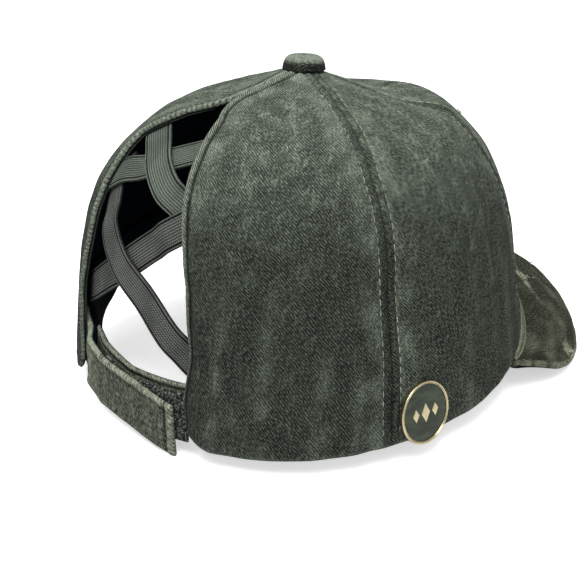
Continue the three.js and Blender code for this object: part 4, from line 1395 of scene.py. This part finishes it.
class CAP_OT_stage(Operator):
    """Make the pale floor, the soft lights and the camera at the photograph's angle"""

    bl_idname = "cap.stage"
    bl_label = "Stage"

    def execute(self, context):
        ring = np.array(((-6, -6, 0), (6, -6, 0), (6, 6, 0), (-6, 6, 0)), float)
        mesh = bpy.data.meshes.new("floor")
        mesh.from_pydata(ring.tolist(), [], [(0, 1, 2, 3)])
        floor = bpy.data.objects.new("floor", mesh)
        context.collection.objects.link(floor)
        pale, n, surface = new_material("floor_paper")
        space = n.add("ShaderNodeTexCoord").outputs["Object"]
        tint = context.scene.cap_colours.floor
        tone = n.mixed(n.noise(space, 30.0), rgba([v * 0.985 for v in tint]), rgba(tint))
        n.feed(surface.inputs["Base Color"], tone)
        surface.inputs["Roughness"].default_value = 0.9
        surface.inputs["Specular IOR Level"].default_value = 0.1
        surface.inputs["Emission Color"].default_value = (0.55, 0.55, 0.55, 1)
        n.feed(surface.inputs["Emission Strength"], n.add("ShaderNodeLightPath").outputs["Is Camera Ray"])
        floor.data.materials.append(pale)

        world = bpy.data.worlds.new("studio")
        world.use_nodes = True
        sky = Nodes(world.node_tree)
        background = world.node_tree.nodes["Background"]
        background.inputs["Color"].default_value = (1, 1, 1, 1)
        seen = sky.add("ShaderNodeLightPath").outputs["Is Camera Ray"]
        sky.feed(background.inputs["Strength"], sky.maths("MULTIPLY_ADD", seen, 0.4, 0.72))
        context.scene.world = world
        context.scene.view_settings.view_transform = "Standard"
        aim = to_row(np.array((0.0, 0.0, 55.0)))
        for name, place, size, power in (
            ("key", (-0.2, 0.4, 0.95), 0.7, 15.0),
            ("fill", (-0.9, 0.1, 0.6), 0.9, 0.8),
            ("back", (0.7, 0.6, 0.6), 0.8, 3.0),
        ):
            lamp = bpy.data.lights.new(name, "AREA")
            lamp.size = size
            lamp.energy = power
            light = bpy.data.objects.new(name, lamp)
            context.collection.objects.link(light)
            back = unit(np.array(place))
            side = unit(np.cross((0, 0, 1), back))
            turned = np.stack((side, np.cross(back, side), back), axis=1)
            light.matrix_world = Matrix.Translation(aim + place) @ Matrix(turned.tolist()).to_4x4()

        turn, lift, roll = 226.251 * DEGREE, 17.958 * DEGREE, 2.115 * DEGREE
        back = np.array((math.sin(turn) * math.cos(lift), -math.cos(turn) * math.cos(lift), math.sin(lift)))
        right = unit(np.cross(-back, (0, 0, 1)))
        up = np.cross(right, -back)
        tilted = right * math.cos(roll) + up * math.sin(roll)
        up = up * math.cos(roll) - right * math.sin(roll)
        c, s = math.cos(REST_PITCH), math.sin(REST_PITCH)
        pitch = np.array(((1, 0, 0), (0, c, -s), (0, s, c)))
        axes = pitch @ np.stack((tilted, up, back), axis=1)
        place = to_row(np.array((0.0, 0.0, 60.0)) + back * 360.676)
        data = bpy.data.cameras.new("camera")
        data.sensor_width = 36
        data.lens = 892.249 / 580 * 36
        data.shift_x = -(300.769 - 290) / 580
        data.shift_y = (205.539 - 290) / 580
        data.clip_start = 0.01
        camera = bpy.data.objects.new("camera", data)
        context.collection.objects.link(camera)
        camera.matrix_world = Matrix.Translation(place) @ Matrix(axes.tolist()).to_4x4()
        context.scene.camera = camera
        return {"FINISHED"}


class CAP_PT_sidebar(Panel):
    """Lists the cap's operators, sizes and colours"""

    bl_label = "Ponytail cap"
    bl_space_type = "VIEW_3D"
    bl_region_type = "UI"
    bl_category = "Cap"

    def draw(self, context):
        for operator in OPERATORS:
            self.layout.operator(operator.bl_idname)
        for group in (context.scene.cap_sizes, context.scene.cap_colours):
            for key in group.__annotations__:
                self.layout.prop(group, key)


OPERATORS = (
    CAP_OT_stage,
    CAP_OT_crown_panels,
    CAP_OT_crown_sewing,
    CAP_OT_brim,
    CAP_OT_sweatband,
    CAP_OT_elastic_bands,
    CAP_OT_closure,
    CAP_OT_top_button,
    CAP_OT_enamel_pin,
)
CLASSES = (CapSizes, CapColours, *OPERATORS, CAP_PT_sidebar)


def register():
    for cls in CLASSES:
        bpy.utils.register_class(cls)
    bpy.types.Scene.cap_sizes = PointerProperty(type=CapSizes)
    bpy.types.Scene.cap_colours = PointerProperty(type=CapColours)


def unregister():
    del bpy.types.Scene.cap_colours
    del bpy.types.Scene.cap_sizes
    for cls in reversed(CLASSES):
        bpy.utils.unregister_class(cls)


def main():
    register()
    twill_group()
    washed_group()
    wear_group()
    for operator in OPERATORS:
        section, name = operator.bl_idname.split(".")
        if getattr(getattr(bpy.ops, section), name)() != {"FINISHED"}:
            raise RuntimeError(operator.bl_label + " was not made")


if __name__ == "__main__":
    main()
